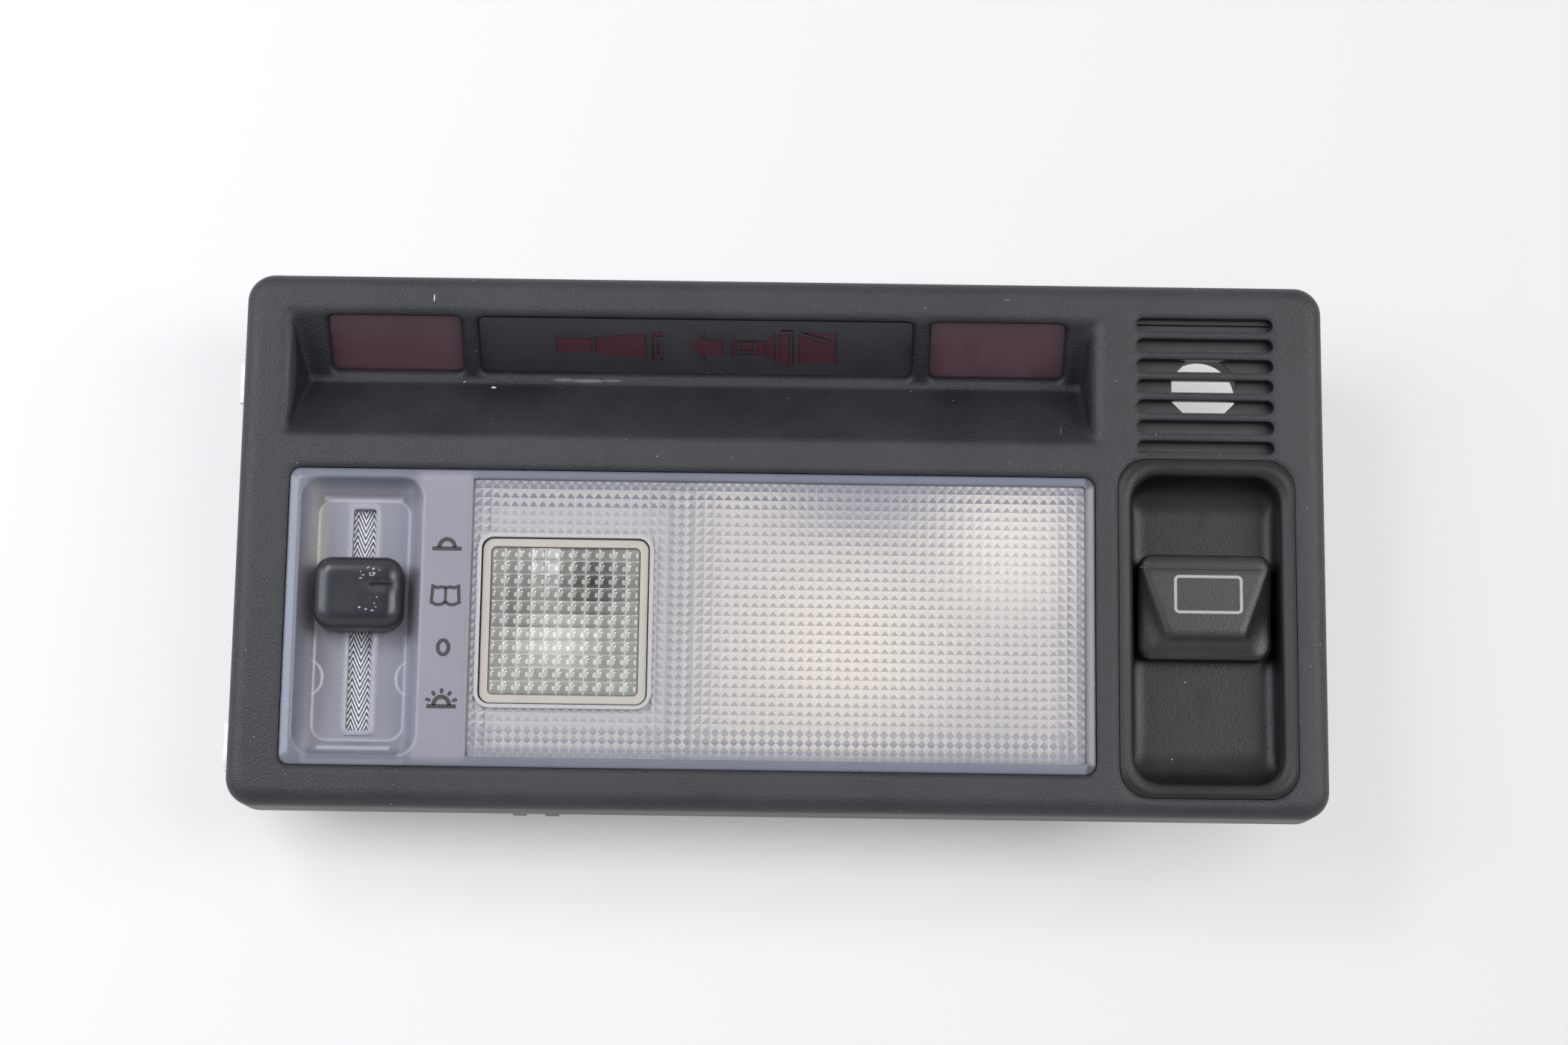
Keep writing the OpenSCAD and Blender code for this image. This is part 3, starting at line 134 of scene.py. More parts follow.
def finish_material(name, color, roughness, **constants):
    """A Principled material with its plain colour, roughness and constants set on the shader's sockets."""
    made = bpy.data.materials.new(name)
    made.use_nodes = True
    shader = made.node_tree.nodes["Principled BSDF"]
    shader.inputs["Base Color"].default_value = (*color, 1)
    shader.inputs["Roughness"].default_value = roughness
    for title, value in constants.items():
        shader.inputs[title.replace("_", " ")].default_value = value
    return made, made.node_tree, shader


def vary_roughness(tree, shader, value, smooth, rough):
    """Roughness that goes from smooth to rough with the value."""
    spread = add(tree, "MapRange", {"Value": value, "To Min": smooth, "To Max": rough})
    tree.links.new(spread.outputs[0], shader.inputs["Roughness"])


# %% A bmesh made into a piece of the object
def as_piece(name, mesh, material, body, smooth=False):
    """A bmesh made into an object with its material, riding on a body."""
    data = bpy.data.meshes.new(name)
    mesh.to_mesh(data)
    mesh.free()
    data.materials.append(material)
    data.polygons.foreach_set("use_smooth", [smooth] * len(data.polygons))
    made = bpy.data.objects.new(name, data)
    bpy.context.scene.collection.objects.link(made)
    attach(made, body)
    return made


# %% [markdown]
# ## Effects that several finishes share
#
# Moulded plastic has a fine grain from the tool it was cast in, and after years in a car it carries dust
# specks and rubbed edges. Each of these is a node group that works in object coordinates, so the sizes of
# its inputs are real ones and the effect stays on the surface when a piece moves. The groups put out only
# values.

# %% Grain: the fine height of a moulded surface, and a slow variation of its tone
def grain_group():
    sizes = {"Size": 0.4 * mm, "Patch": 25 * mm}
    tree, given, result = effect_group("moulded_grain", sizes, ["Height", "Tone"])
    place = add(tree, "TexCoord").outputs["Object"]
    fine = add(tree, "TexNoise", {"Vector": place, "Scale": math_node(tree, "DIVIDE", 1.0, given["Size"]),
                                  "Detail": 3.0, "Roughness": 0.6})
    slow = add(tree, "TexNoise", {"Vector": place, "Scale": math_node(tree, "DIVIDE", 1.0, given["Patch"]),
                                  "Detail": 4.0, "Roughness": 0.62})
    tree.links.new(fine.outputs["Fac"], result["Height"])
    tree.links.new(slow.outputs["Fac"], result["Tone"])
    return tree


# %% Dust: scattered specks, one at most in each cell
def dust_group():
    sizes = {"Cell": 3 * mm, "Amount": 0.3, "Speck": 0.08}
    tree, given, result = effect_group("dust_specks", sizes, ["Mask"])
    place = add(tree, "TexCoord").outputs["Object"]
    scale = math_node(tree, "DIVIDE", 1.0, given["Cell"])
    wander = add(tree, "TexNoise", {"Vector": place, "Scale": math_node(tree, "MULTIPLY", scale, 6.0)})
    shaken = add(tree, "VectorMath", {0: wander.outputs["Color"], 1: (0.5, 0.5, 0.5)}, operation="SUBTRACT")
    shift = add(tree, "VectorMath", {0: shaken.outputs[0], "Scale": 0.35 * mm}, operation="SCALE")
    moved = add(tree, "VectorMath", {0: place, 1: shift.outputs[0]}, operation="ADD")
    cells = add(tree, "TexVoronoi", {"Vector": moved.outputs[0], "Scale": scale, "Randomness": 1.0})
    draws = add(tree, "SeparateColor", {0: cells.outputs["Color"]}).outputs
    chosen = math_node(tree, "LESS_THAN", draws[0], given["Amount"])
    size = math_node(tree, "MULTIPLY", given["Speck"], draws[1])
    near = math_node(tree, "LESS_THAN", cells.outputs["Distance"], size)
    tree.links.new(math_node(tree, "MULTIPLY", chosen, near), result["Mask"])
    return tree


# %% Rubbed edges: where the rounded normal leaves the true one
def edge_group():
    tree, given, result = effect_group("rubbed_edges", {"Width": 0.5 * mm}, ["Mask"])
    rounded = add(tree, "Bevel", {"Radius": given["Width"]}, samples=4)
    true_normal = add(tree, "NewGeometry").outputs["Normal"]
    match = add(tree, "VectorMath", {0: rounded.outputs[0], 1: true_normal}, operation="DOT_PRODUCT")
    turn = math_node(tree, "SUBTRACT", 1.0, match.outputs["Value"])
    tree.links.new(math_node(tree, "MULTIPLY", turn, 4.0, clamp=True), result["Mask"])
    return tree


# %% Soft rectangle and soft spot: places on a face where the tone changes
def bent_place(tree, bend):
    """Object coordinates moved against the slope, as a prism bends a look at what lies behind it."""
    normal = add(tree, "VectorMath", {0: add(tree, "NewGeometry").outputs["True Normal"], "Scale": bend},
                 operation="SCALE")
    place = add(tree, "TexCoord").outputs["Object"]
    moved = add(tree, "VectorMath", {0: place, 1: normal.outputs[0]}, operation="SUBTRACT")
    return add(tree, "SeparateXYZ", {0: moved.outputs[0]}).outputs


def soft_box_group():
    sizes = {"X": 0.0, "Y": 0.0, "Half X": 10 * mm, "Half Y": 10 * mm, "Blur": 1 * mm, "Bend": 0.0}
    tree, given, result = effect_group("soft_box", sizes, ["Mask"])
    place = bent_place(tree, given["Bend"])
    sides = []
    for axis, half in (("X", "Half X"), ("Y", "Half Y")):
        away = math_node(tree, "ABSOLUTE", math_node(tree, "SUBTRACT", place[axis], given[axis]))
        room = math_node(tree, "DIVIDE", math_node(tree, "SUBTRACT", given[half], away), given["Blur"])
        sides.append(math_node(tree, "ADD", room, 0.5, clamp=True))
    tree.links.new(math_node(tree, "MULTIPLY", *sides), result["Mask"])
    return tree


def soft_spot_group():
    sizes = {"X": 0.0, "Y": 0.0, "Reach X": 10 * mm, "Reach Y": 10 * mm, "Bend": 0.0}
    tree, given, result = effect_group("soft_spot", sizes, ["Mask"])
    place = bent_place(tree, given["Bend"])
    squares = []
    for axis, reach in (("X", "Reach X"), ("Y", "Reach Y")):
        offset = math_node(tree, "SUBTRACT", place[axis], given[axis])
        share = math_node(tree, "DIVIDE", offset, given[reach])
        squares.append(math_node(tree, "POWER", math_node(tree, "ABSOLUTE", share), 2.0))
    away = math_node(tree, "SQRT", math_node(tree, "ADD", *squares))
    fade = add(tree, "MapRange", {"Value": away, "From Min": 1.0, "From Max": 0.0},
               interpolation_type="SMOOTHSTEP")
    tree.links.new(fade.outputs[0], result["Mask"])
    return tree


GRAIN = grain_group()
DUST = dust_group()
EDGES = edge_group()
BOX = soft_box_group()
SPOT = soft_spot_group()
print("shared effects:", [group.name for group in bpy.data.node_groups])


# %% Masks and layers of paint for the materials
def box_mask(tree, x0, x1, y0, y1, blur, bend=0.0):
    """A rectangle with a soft edge, seen from above."""
    sizes = {"X": (x0 + x1) / 2, "Y": (y0 + y1) / 2, "Half X": (x1 - x0) / 2, "Half Y": (y1 - y0) / 2,
             "Blur": blur, "Bend": bend}
    return place_group(tree, BOX, sizes)["Mask"]


def spot_mask(tree, x, y, reach_x, reach_y, bend=0.0):
    """A soft spot, seen from above."""
    sizes = {"X": x, "Y": y, "Reach X": reach_x, "Reach Y": reach_y, "Bend": bend}
    return place_group(tree, SPOT, sizes)["Mask"]


def paint_over(tree, tone, layers):
    """A tone covered by (mask, share, colour) layers, one over another."""
    for mask, share, color in layers:
        tone = blend_colors(tree, math_node(tree, "MULTIPLY", mask, share), tone, color)
    return tone

# %% [markdown]
# ## Black plastics
#
# The bezel, the recess and the rocker are charcoal plastics with a fine tool grain. Under a white room they
# read lighter than they are, because the grain scatters the sheen. The recess is given a darker colour than
# the bezel: painted shade, for the light that its walls keep out. One function makes every black finish,
# from the dull bezel to the slide knob that fingers have polished, by changing colour, roughness, grain and
# dust.

# %% Plastic finishes
def moulded_plastic(name, color, pale, roughness, grain=0.4 * mm, relief=0.04 * mm, patch=25 * mm,
                    rubbed=0.25, edge=0.5 * mm, soft=0.5 * mm, dust=(4 * mm, 0.3, 0.06),
                    dust_color=(0.5, 0.5, 0.5), marks=(), **constants):
    """Moulded plastic: two-colour patches, rubbed edges, dust, marks and painted highlights, soft corners,
    grain.
    """
    made, tree, shader = finish_material(name, color, roughness, **constants)
    surface = place_group(tree, GRAIN, {"Size": grain, "Patch": patch})
    worn = place_group(tree, EDGES, {"Width": edge})["Mask"]
    specks = place_group(tree, DUST, dict(zip(("Cell", "Amount", "Speck"), dust)))["Mask"]
    tone = add(tree, "MapRange", {"Value": surface["Tone"], "From Min": 0.35, "From Max": 0.65}).outputs[0]
    toned = blend_colors(tree, tone, color, pale)
    rubbed_share = math_node(tree, "MULTIPLY", worn, rubbed)
    edged = blend_colors(tree, rubbed_share, toned, [min(1.0, 2.2 * c + 0.02) for c in pale])
    dust_marks_and_highlight = blend_colors(tree, math_node(tree, "MULTIPLY", specks, 0.8), edged, dust_color)
    # A mark covers the colour where it lies: a speck or scratch, and on the bezel one painted highlight.
    for x, y, reach_x, reach_y, tint in marks:
        spot = spot_mask(tree, x * mm, y * mm, reach_x * mm, reach_y * mm)
        dust_marks_and_highlight = blend_colors(tree, math_node(tree, "MULTIPLY", spot, 3.0, clamp=True), dust_marks_and_highlight, tint)
    tree.links.new(dust_marks_and_highlight, shader.inputs["Base Color"])
    rough = add(tree, "MapRange", {"Value": surface["Tone"], "From Min": 0.3, "From Max": 0.7,
                                   "To Min": roughness - 0.06, "To Max": roughness + 0.06}).outputs[0]
    tree.links.new(math_node(tree, "ADD", rough, math_node(tree, "MULTIPLY", specks, 0.3), clamp=True),
                   shader.inputs["Roughness"])
    bevel = add(tree, "Bevel", {"Radius": soft}, samples=8)
    bump = add(tree, "Bump", {"Strength": 0.6, "Distance": relief, "Height": surface["Height"],
                              "Normal": bevel.outputs[0]})
    tree.links.new(bump.outputs[0], shader.inputs["Normal"])
    return made


# Each mark is its place, its reach along X and Y in millimetres, and its colour. Most are specks, fibres and
# scratches; the long pale one at x -92.1 is a painted highlight on the trough's rounded left lip.
bezel_marks_and_highlight = [(-65.1, 46.1, 0.16, 0.9, (0.6, 0.6, 0.58)), (-66.1, 35.5, 0.3, 0.25, (0.5, 0.42, 0.2)),
               (-60.1, 32.5, 0.3, 0.22, (0.45, 0.22, 0.06)), (-54.3, 31.2, 0.6, 0.3, (0.7, 0.72, 0.75)),
               (-54.8, 36.1, 0.3, 0.4, (0.55, 0.55, 0.5)), (54.4, 22.6, 0.12, 1.1, (0.12, 0.12, 0.12)),
               (44.0, 47.2, 0.8, 0.1, (0.14, 0.14, 0.14)), (-92.1, 32.0, 0.8, 12.5, (0.05, 0.052, 0.062)),
               (-41.0, 33.1, 2.6, 0.35, (0.11, 0.11, 0.11)), (-36.2, 33.0, 4.0, 0.4, (0.12, 0.12, 0.12)),
               (-31.5, 33.1, 2.4, 0.3, (0.1, 0.1, 0.1))]
bezel_black = moulded_plastic("bezel_black", (0.011, 0.011, 0.015), (0.021, 0.021, 0.026), 0.42,
                              edge=0.4 * mm, soft=2.4 * mm, grain=0.45 * mm, relief=0.3 * mm,
                              dust=(2.0 * mm, 0.3, 0.065), marks=bezel_marks_and_highlight)
# The recess's colour is darker than the bezel's: painted shade, for the light that its walls keep out.
recess_black_painted_shade = moulded_plastic("recess_black_painted_shade", (0.007, 0.0065, 0.0065), (0.014, 0.013, 0.013), 0.36,
                               grain=0.4 * mm, relief=0.1 * mm, edge=0.5 * mm, soft=3.2 * mm,
                               dust=(3 * mm, 0.25, 0.055), Specular_IOR_Level=0.36)
cap_black = moulded_plastic("cap_black", (0.014, 0.013, 0.013), (0.026, 0.024, 0.024), 0.36, grain=0.4 * mm,
                            relief=0.08 * mm, edge=0.5 * mm, soft=2 * mm, dust=(3 * mm, 0.25, 0.055))
knob_low, knob_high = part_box("slide_knob")
knob_middle = [(knob_low[i] + knob_high[i]) / 2 / mm for i in (0, 1)]
random.seed(7)
knob_marks = [(knob_middle[0] + random.uniform(0.5, 4.9), knob_middle[1] + up + random.gauss(0, 0.55),
               random.uniform(0.1, 0.4), random.uniform(0.08, 0.22), (0.55, 0.56, 0.6))
              for up in (3.9, 3.9, 2.7, 2.7, 3.3, 3.3, -2.6, -2.6, -2.6) for k in (1, 2)]
knob_black = moulded_plastic("knob_black", (0.011, 0.011, 0.015), (0.019, 0.019, 0.025), 0.27,
                             relief=0.02 * mm, edge=0.6 * mm, soft=2.2 * mm, dust=(1.1 * mm, 0.45, 0.1),
                             dust_color=(0.6, 0.6, 0.6), marks=knob_marks)
duct_black = moulded_plastic("duct_black", (0.02, 0.02, 0.022), (0.03, 0.03, 0.032), 0.5)
brown_dust = {"dust": (3 * mm, 0.25, 0.08), "dust_color": (0.3, 0.27, 0.22)}
white_plastic = moulded_plastic("white_plastic", (0.72, 0.7, 0.64), (0.8, 0.78, 0.73), 0.42,
                                relief=0.02 * mm, rubbed=0.1, **brown_dust)
grey_plastic = moulded_plastic("grey_plastic", (0.5, 0.5, 0.48), (0.58, 0.58, 0.56), 0.45, rubbed=0.1,
                               **brown_dust)
print("plastics made: bezel, recess, rocker cap, knob, duct, white and grey; worn specks on the knob:",
      len(knob_marks))

# %% [markdown]
# ## The woven tape behind the slot
#
# A grey herringbone tape closes the slot round the knob's blade. Its yarns run in slanted stripes that
# change side every millimetre and a half. The stripes come from a zigzag across the tape added to its
# length, so neighbours meet in a point, and a second finer stripe breaks each yarn into stitches.

# %% Herringbone material
column_width, column_slope = 1.5 * mm, 2.2
yarn_pitch, stitch_pitch = 1.3 * mm, 0.34 * mm


def herringbone_tape():
    made, tree, shader = finish_material("herringbone_tape", (0.7, 0.71, 0.76), 0.8, Sheen_Weight=0.3)
    low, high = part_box("slot_tape")
    middle = (low[0] + high[0]) / 2
    place = add(tree, "SeparateXYZ", {0: add(tree, "TexCoord").outputs["Object"]}).outputs
    aside = math_node(tree, "PINGPONG", math_node(tree, "SUBTRACT", place["X"], middle), column_width)
    slant = math_node(tree, "SUBTRACT", math_node(tree, "MULTIPLY", aside, column_slope), place["Y"])
    yarn = math_node(tree, "SINE", math_node(tree, "MULTIPLY", slant, 2 * math.pi / yarn_pitch))
    across = math_node(tree, "ADD", aside, math_node(tree, "MULTIPLY", slant, 0.2))
    stitch = math_node(tree, "SINE", math_node(tree, "MULTIPLY", across, 2 * math.pi / stitch_pitch))
    stitch_height = math_node(tree, "MULTIPLY", stitch, 0.12)
    height = math_node(tree, "ADD", math_node(tree, "MULTIPLY", yarn, 0.6), stitch_height)
    share = add(tree, "MapRange", {"Value": height, "From Min": -0.35, "From Max": 0.2}).outputs[0]
    tree.links.new(blend_colors(tree, share, (0.06, 0.06, 0.08), (0.92, 0.92, 0.97)),
                   shader.inputs["Base Color"])
    vary_roughness(tree, shader, share, 0.9, 0.7)
    bump = add(tree, "Bump", {"Strength": 0.8, "Distance": 0.12 * mm, "Height": height})
    tree.links.new(bump.outputs[0], shader.inputs["Normal"])
    return made


tape_cloth = herringbone_tape()


def closed_tape():
    """A plain block on the place of the slit tape, whose lips close wherever the blade stands."""
    low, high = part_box("slot_tape")
    mesh = bmesh.new()
    bmesh.ops.create_cube(mesh, size=1.0)
    for vertex in mesh.verts:
        vertex.co = [low[i] if vertex.co[i] < 0 else high[i] for i in range(3)]
    return mesh


tape = as_piece("woven_tape", closed_tape(), tape_cloth, "housing")
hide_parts("slot_tape")
print("tape, mm:", [round(size / mm, 1) for size in tape.dimensions])

# %% [markdown]
# ## Metals and glass behind the face
#
# The contacts are stamped brass, the clips rolled spring steel and the screws zinc plated. They share one
# function: a metal with fine streaks along its rolling direction, and dull patches in its tone and
# roughness.

# %% Metal finishes
def stamped_metal(name, color, dull, roughness, streak=0.15 * mm):
    made, tree, shader = finish_material(name, color, roughness, Metallic=1.0)
    place = add(tree, "TexCoord").outputs["Object"]
    stretched = add(tree, "Mapping", {"Vector": place, "Scale": (1.0, 0.06, 1.0)})
    streaks = add(tree, "TexNoise", {"Vector": stretched.outputs[0], "Scale": 1 / streak, "Detail": 2.0})
    surface = place_group(tree, GRAIN, {"Size": 0.6 * mm, "Patch": 9 * mm})
    tone = add(tree, "MapRange", {"Value": surface["Tone"], "From Min": 0.4, "From Max": 0.68}).outputs[0]
    tree.links.new(blend_colors(tree, tone, color, dull), shader.inputs["Base Color"])
    rough = add(tree, "MapRange", {"Value": surface["Tone"], "From Min": 0.35, "From Max": 0.65,
                                   "To Min": roughness - 0.08, "To Max": roughness + 0.14}).outputs[0]
    tree.links.new(rough, shader.inputs["Roughness"])
    bump = add(tree, "Bump", {"Strength": 0.3, "Distance": 0.01 * mm, "Height": streaks.outputs["Fac"]})
    tree.links.new(bump.outputs[0], shader.inputs["Normal"])
    return made


brass = stamped_metal("brass", (0.7, 0.5, 0.2), (0.42, 0.3, 0.14), 0.3)
spring_steel = stamped_metal("spring_steel", (0.55, 0.55, 0.54), (0.34, 0.32, 0.29), 0.35)
zinc_steel = stamped_metal("zinc_steel", (0.6, 0.6, 0.62), (0.42, 0.42, 0.4), 0.32)


def bulb_glass():
    """Clear bulb glass, a little grey from use."""
    made, tree, shader = finish_material("bulb_glass", (0.85, 0.88, 0.88), 0.08, Transmission_Weight=0.85,
                                         IOR=1.5)
    surface = place_group(tree, GRAIN, {"Size": 0.8 * mm, "Patch": 6 * mm})
    tree.links.new(blend_colors(tree, surface["Tone"], (0.9, 0.93, 0.93), (0.72, 0.73, 0.7)),
                   shader.inputs["Base Color"])
    vary_roughness(tree, shader, surface["Tone"], 0.03, 0.16)
    return made


bulb_clear = bulb_glass()
print("metals and glass made")

# %% [markdown]
# ## The display windows
#
# A strip of dark red plastic lies behind all three windows. Unlit it is nearly black, with a brownish red
# haze where light scatters in it. In front of the middle window a dark foil has the belt signs cut out of
# it, so the signs show the same red strip; behind the foil its colour is painted darker and deeper red, as
# painted shade from the foil. Both are smooth, and old dust makes their gloss uneven.

# %% Filter and foil
def tinted_strip(name, deep, haze, roughness, shaded_behind_foil=None):
    """A smooth tinted strip; its colour behind the foil, when given, is painted shade from the foil."""
    made, tree, shader = finish_material(name, deep, roughness, Coat_Weight=0.2, Coat_Roughness=0.2)
    surface = place_group(tree, GRAIN, {"Size": 0.35 * mm, "Patch": 7 * mm})
    specks = place_group(tree, DUST, {"Cell": 2.2 * mm, "Amount": 0.3, "Speck": 0.07})["Mask"]
    tinted = blend_colors(tree, surface["Tone"], deep, haze)
    if shaded_behind_foil:
        low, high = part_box("display_mask")
        # Painted shade: behind the foil the strip takes the darker colour.
        behind = box_mask(tree, low[0], high[0], -1.0, 1.0, 0.1 * mm)
        tinted = blend_colors(tree, behind, tinted, shaded_behind_foil)
    tree.links.new(blend_colors(tree, math_node(tree, "MULTIPLY", specks, 0.5), tinted, (0.4, 0.38, 0.38)),
                   shader.inputs["Base Color"])
    vary_roughness(tree, shader, surface["Tone"], roughness - 0.1, roughness + 0.1)
    bump = add(tree, "Bump", {"Strength": 0.25, "Distance": 0.02 * mm, "Height": surface["Height"]})
    tree.links.new(bump.outputs[0], shader.inputs["Normal"])
    return made


filter_red = tinted_strip("filter_red", (0.055, 0.028, 0.036), (0.11, 0.058, 0.075), 0.42,
                          shaded_behind_foil=(0.05, 0.012, 0.02))
foil_dark = tinted_strip("foil_dark", (0.018, 0.018, 0.023), (0.034, 0.033, 0.04), 0.36)
print("strips made:", filter_red.name, foil_dark.name)

# %% [markdown]
# ## The prismatic lens
#
# The lens is one clear moulding over white lamp chambers. Its main area is a field of small pyramids that
# break the bulb's light up. They are too many and too small for the CAD model, so the lens is rebuilt here:
# a copy of the CAD mesh keeps every edge of the real moulding, its top is sunk inside the field by the
# height of a pyramid, and the pyramids are built on that floor as flat shaded faces. Real geometry gives
# them the light and dark sides that the photograph shows from any angle, which a bump map would lose; over
# the dome, painted shade on the sides that face the lower long edge adds to them.

# %% Sizes of the pyramid field, from the lens itself
lens_low, lens_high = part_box("dome_lens")
reading_low, reading_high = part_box("reading_reflector")
face_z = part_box("bezel")[1][2]
lens_z = face_z + 0.3 * mm
flange = 1 * mm
border = 1.8 * mm
field_rows = 31
field_columns = 66
field_relief = 0.75 * mm
field_x = (lens_low[0] + flange + 34.7 * mm, lens_high[0] - flange - border)
field_y = (lens_low[1] + flange + border, lens_high[1] - flange - border)
frame_half = 16.5 * mm
reading_center = [(reading_low[i] + reading_high[i]) / 2 for i in (0, 1)]
print("pyramid pitch, mm:", round((field_x[1] - field_x[0]) / field_columns / mm, 3),
      round((field_y[1] - field_y[0]) / field_rows / mm, 3))


# %% Cut a mesh along a rectangle
def cut_rectangle(mesh, x_range, y_range):
    """Adds edges to a bmesh along the four upright planes of a rectangle."""
    for axis, places in ((0, x_range), (1, y_range)):
        for place in places:
            point = [0.0, 0.0, 0.0]
            normal = [0.0, 0.0, 0.0]
            point[axis] = place
            normal[axis] = 1.0
            whole = mesh.verts[:] + mesh.edges[:] + mesh.faces[:]
            bmesh.ops.bisect_plane(mesh, geom=whole, plane_co=point, plane_no=normal, dist=1e-7)


def inside(point, x_range, y_range):
    """Whether a point lies in the rectangle, seen from above."""
    return x_range[0] < point[0] < x_range[1] and y_range[0] < point[1] < y_range[1]


# %% The sunken moulding
def sunken_lens():
    """A bmesh of the CAD lens whose top is lowered inside the field."""
    mesh = bmesh.new()
    mesh.from_mesh(nodes["dome_lens"].data)
    bmesh.ops.remove_doubles(mesh, verts=mesh.verts, dist=1e-6)
    cut_rectangle(mesh, field_x, field_y)
    top = []
    for face in mesh.faces:
        middle = face.calc_center_median()
        level = face.normal.z > 0.99 and abs(middle.z - lens_z) < 0.05 * mm
        if level and inside(middle, field_x, field_y):
            top.append(face)
    sunk = bmesh.ops.extrude_face_region(mesh, geom=top)
    moved = [item for item in sunk["geom"] if isinstance(item, bmesh.types.BMVert)]
    bmesh.ops.translate(mesh, verts=moved, vec=(0, 0, -field_relief))
    bmesh.ops.delete(mesh, geom=top, context="FACES")
    return mesh


# %% The pyramids
def pyramid_field():
    """A bmesh of four-sided pyramids over the field, with the square of the reading lamp left out."""
    mesh = bmesh.new()
    step_x = (field_x[1] - field_x[0]) / field_columns
    step_y = (field_y[1] - field_y[0]) / field_rows
    floor_z = lens_z - field_relief
    corners = [[mesh.verts.new((field_x[0] + i * step_x, field_y[0] + j * step_y, floor_z))
                for j in range(field_rows + 1)] for i in range(field_columns + 1)]
    for i in range(field_columns):
        for j in range(field_rows):
            tip = mesh.verts.new((field_x[0] + (i + 0.5) * step_x, field_y[0] + (j + 0.5) * step_y, lens_z))
            ring = [corners[i][j], corners[i + 1][j], corners[i + 1][j + 1], corners[i][j + 1]]
            for k in range(4):
                mesh.faces.new((ring[k], ring[(k + 1) % 4], tip))
    square = [(reading_center[axis] - frame_half, reading_center[axis] + frame_half) for axis in (0, 1)]
    cut_rectangle(mesh, *square)
    hidden = [face for face in mesh.faces if inside(face.calc_center_median(), *square)]
    bmesh.ops.delete(mesh, geom=hidden, context="FACES")
    return mesh


# %% [markdown]
# ## The lens finish
#
# The plastic is clear, and what shows through it is painted into its colour as light and shade: the white
# chamber behind it, broken up by the prisms, with a painted glow warm and bright over the dome bulb's
# reflector, greyer over the reading lamp, bluish where there is only the dark gap of the wall behind it. The
# tone is laid out with soft rectangles and spots. A sloping facet bends the look at what lies behind it, so
# each mask is read a few millimetres against the slope: that is why the first rows of pyramids have dark
# sides towards the wall. Over the dome the sides that face the lower long edge look at the shaded wall of
# the chamber, so they are painted greyer than the others, as painted shade.

# %% Tones of the lens outside the pyramids
knob_x = (knob_low[0] + knob_high[0]) / 2
across = (field_x[0] + field_x[1]) / 2
along = (field_y[0] + field_y[1]) / 2
# The pale colour of painted highlights on the tub's lips and walls.
highlight_white = (0.62, 0.62, 0.68)


def crescent_mask(tree, x, side):
    """A thin bow, the part of a disc that the same disc moved aside leaves free."""
    discs = []
    for shift in (2.2, 2.65):
        disc = spot_mask(tree, (x - side * shift) * mm, -26.4 * mm, 2.8 * mm, 3.6 * mm)
        discs.append(math_node(tree, "MULTIPLY", disc, 14.0, clamp=True))
    return math_node(tree, "SUBTRACT", *discs, clamp=True)


def rim_tone(tree, surface):
    """The bluish border, the paler tub with its stain, painted highlights and shade, and the strip with
    signs.
    """
    tub = box_mask(tree, knob_x - 10.5 * mm, knob_x + 9.5 * mm, along - 25 * mm, along + 25 * mm, 1.5 * mm)
    # Painted shade on the tub's left wall, where the light from the left does not reach.
    shade = spot_mask(tree, knob_x - 8 * mm, along, 4.5 * mm, 34 * mm)
    label = box_mask(tree, field_x[0] - 10.5 * mm, field_x[0], field_y[0] - 1 * mm, field_y[1] + 1 * mm,
                     2 * mm)
    stain = spot_mask(tree, knob_x - 8.4 * mm, along + 14 * mm, 3 * mm, 17 * mm)
    # A ring of painted highlight round the tub's lip: the outer rectangle less the inner one.
    outer = box_mask(tree, knob_x - 9.8 * mm, knob_x + 9.6 * mm, -43.2 * mm, 9.4 * mm, 0.7 * mm)
    inner = box_mask(tree, knob_x - 8.6 * mm, knob_x + 8.4 * mm, -42.0 * mm, 8.2 * mm, 0.7 * mm)
    layers = [(tub, 1.0, (0.27, 0.27, 0.32)), (shade, 0.85, (0.14, 0.14, 0.16)),
              (label, 1.0, (0.31, 0.29, 0.34)), (stain, 0.7, (0.37, 0.34, 0.29)),
              (math_node(tree, "SUBTRACT", outer, inner, clamp=True), 0.3, (0.4, 0.39, 0.42))]
    # Painted highlights: a pale bar along the tub's bottom and top walls.
    for x0, x1, y in ((-84.4, -70.7, -39.8), (-85.0, -70.1, 7.7)):
        highlight_bar = box_mask(tree, x0 * mm, x1 * mm, (y - 0.4) * mm, (y + 0.4) * mm, 0.5 * mm)
        layers.append((highlight_bar, 0.7, highlight_white))
    for x, side in ((-84.3, 1), (-70.3, -1)):
        layers.append((crescent_mask(tree, x, side), 0.7, (0.66, 0.65, 0.68)))
    # Painted highlights along the tub's edges, where the rounded normal turns.
    edges = place_group(tree, EDGES, {"Width": 1.0 * mm})["Mask"]
    low_border = box_mask(tree, *field_x, lens_low[1], field_y[0], 0.5 * mm)
    end_border = box_mask(tree, field_x[1], lens_high[0], lens_low[1], lens_high[1], 0.5 * mm)
    layers += [(math_node(tree, "MULTIPLY", edges, tub), 0.8, highlight_white), (low_border, 0.7, (0.21, 0.22, 0.27)),
               (end_border, 0.9, (0.07, 0.068, 0.078))]
    border = blend_colors(tree, surface["Tone"], (0.13, 0.142, 0.19), (0.2, 0.21, 0.26))
    return paint_over(tree, border, layers)


# %% Tones behind the pyramids
divider = reading_center[0] + 20.5 * mm
dome_edge = divider + 4 * mm
prism_bend = 6 * mm


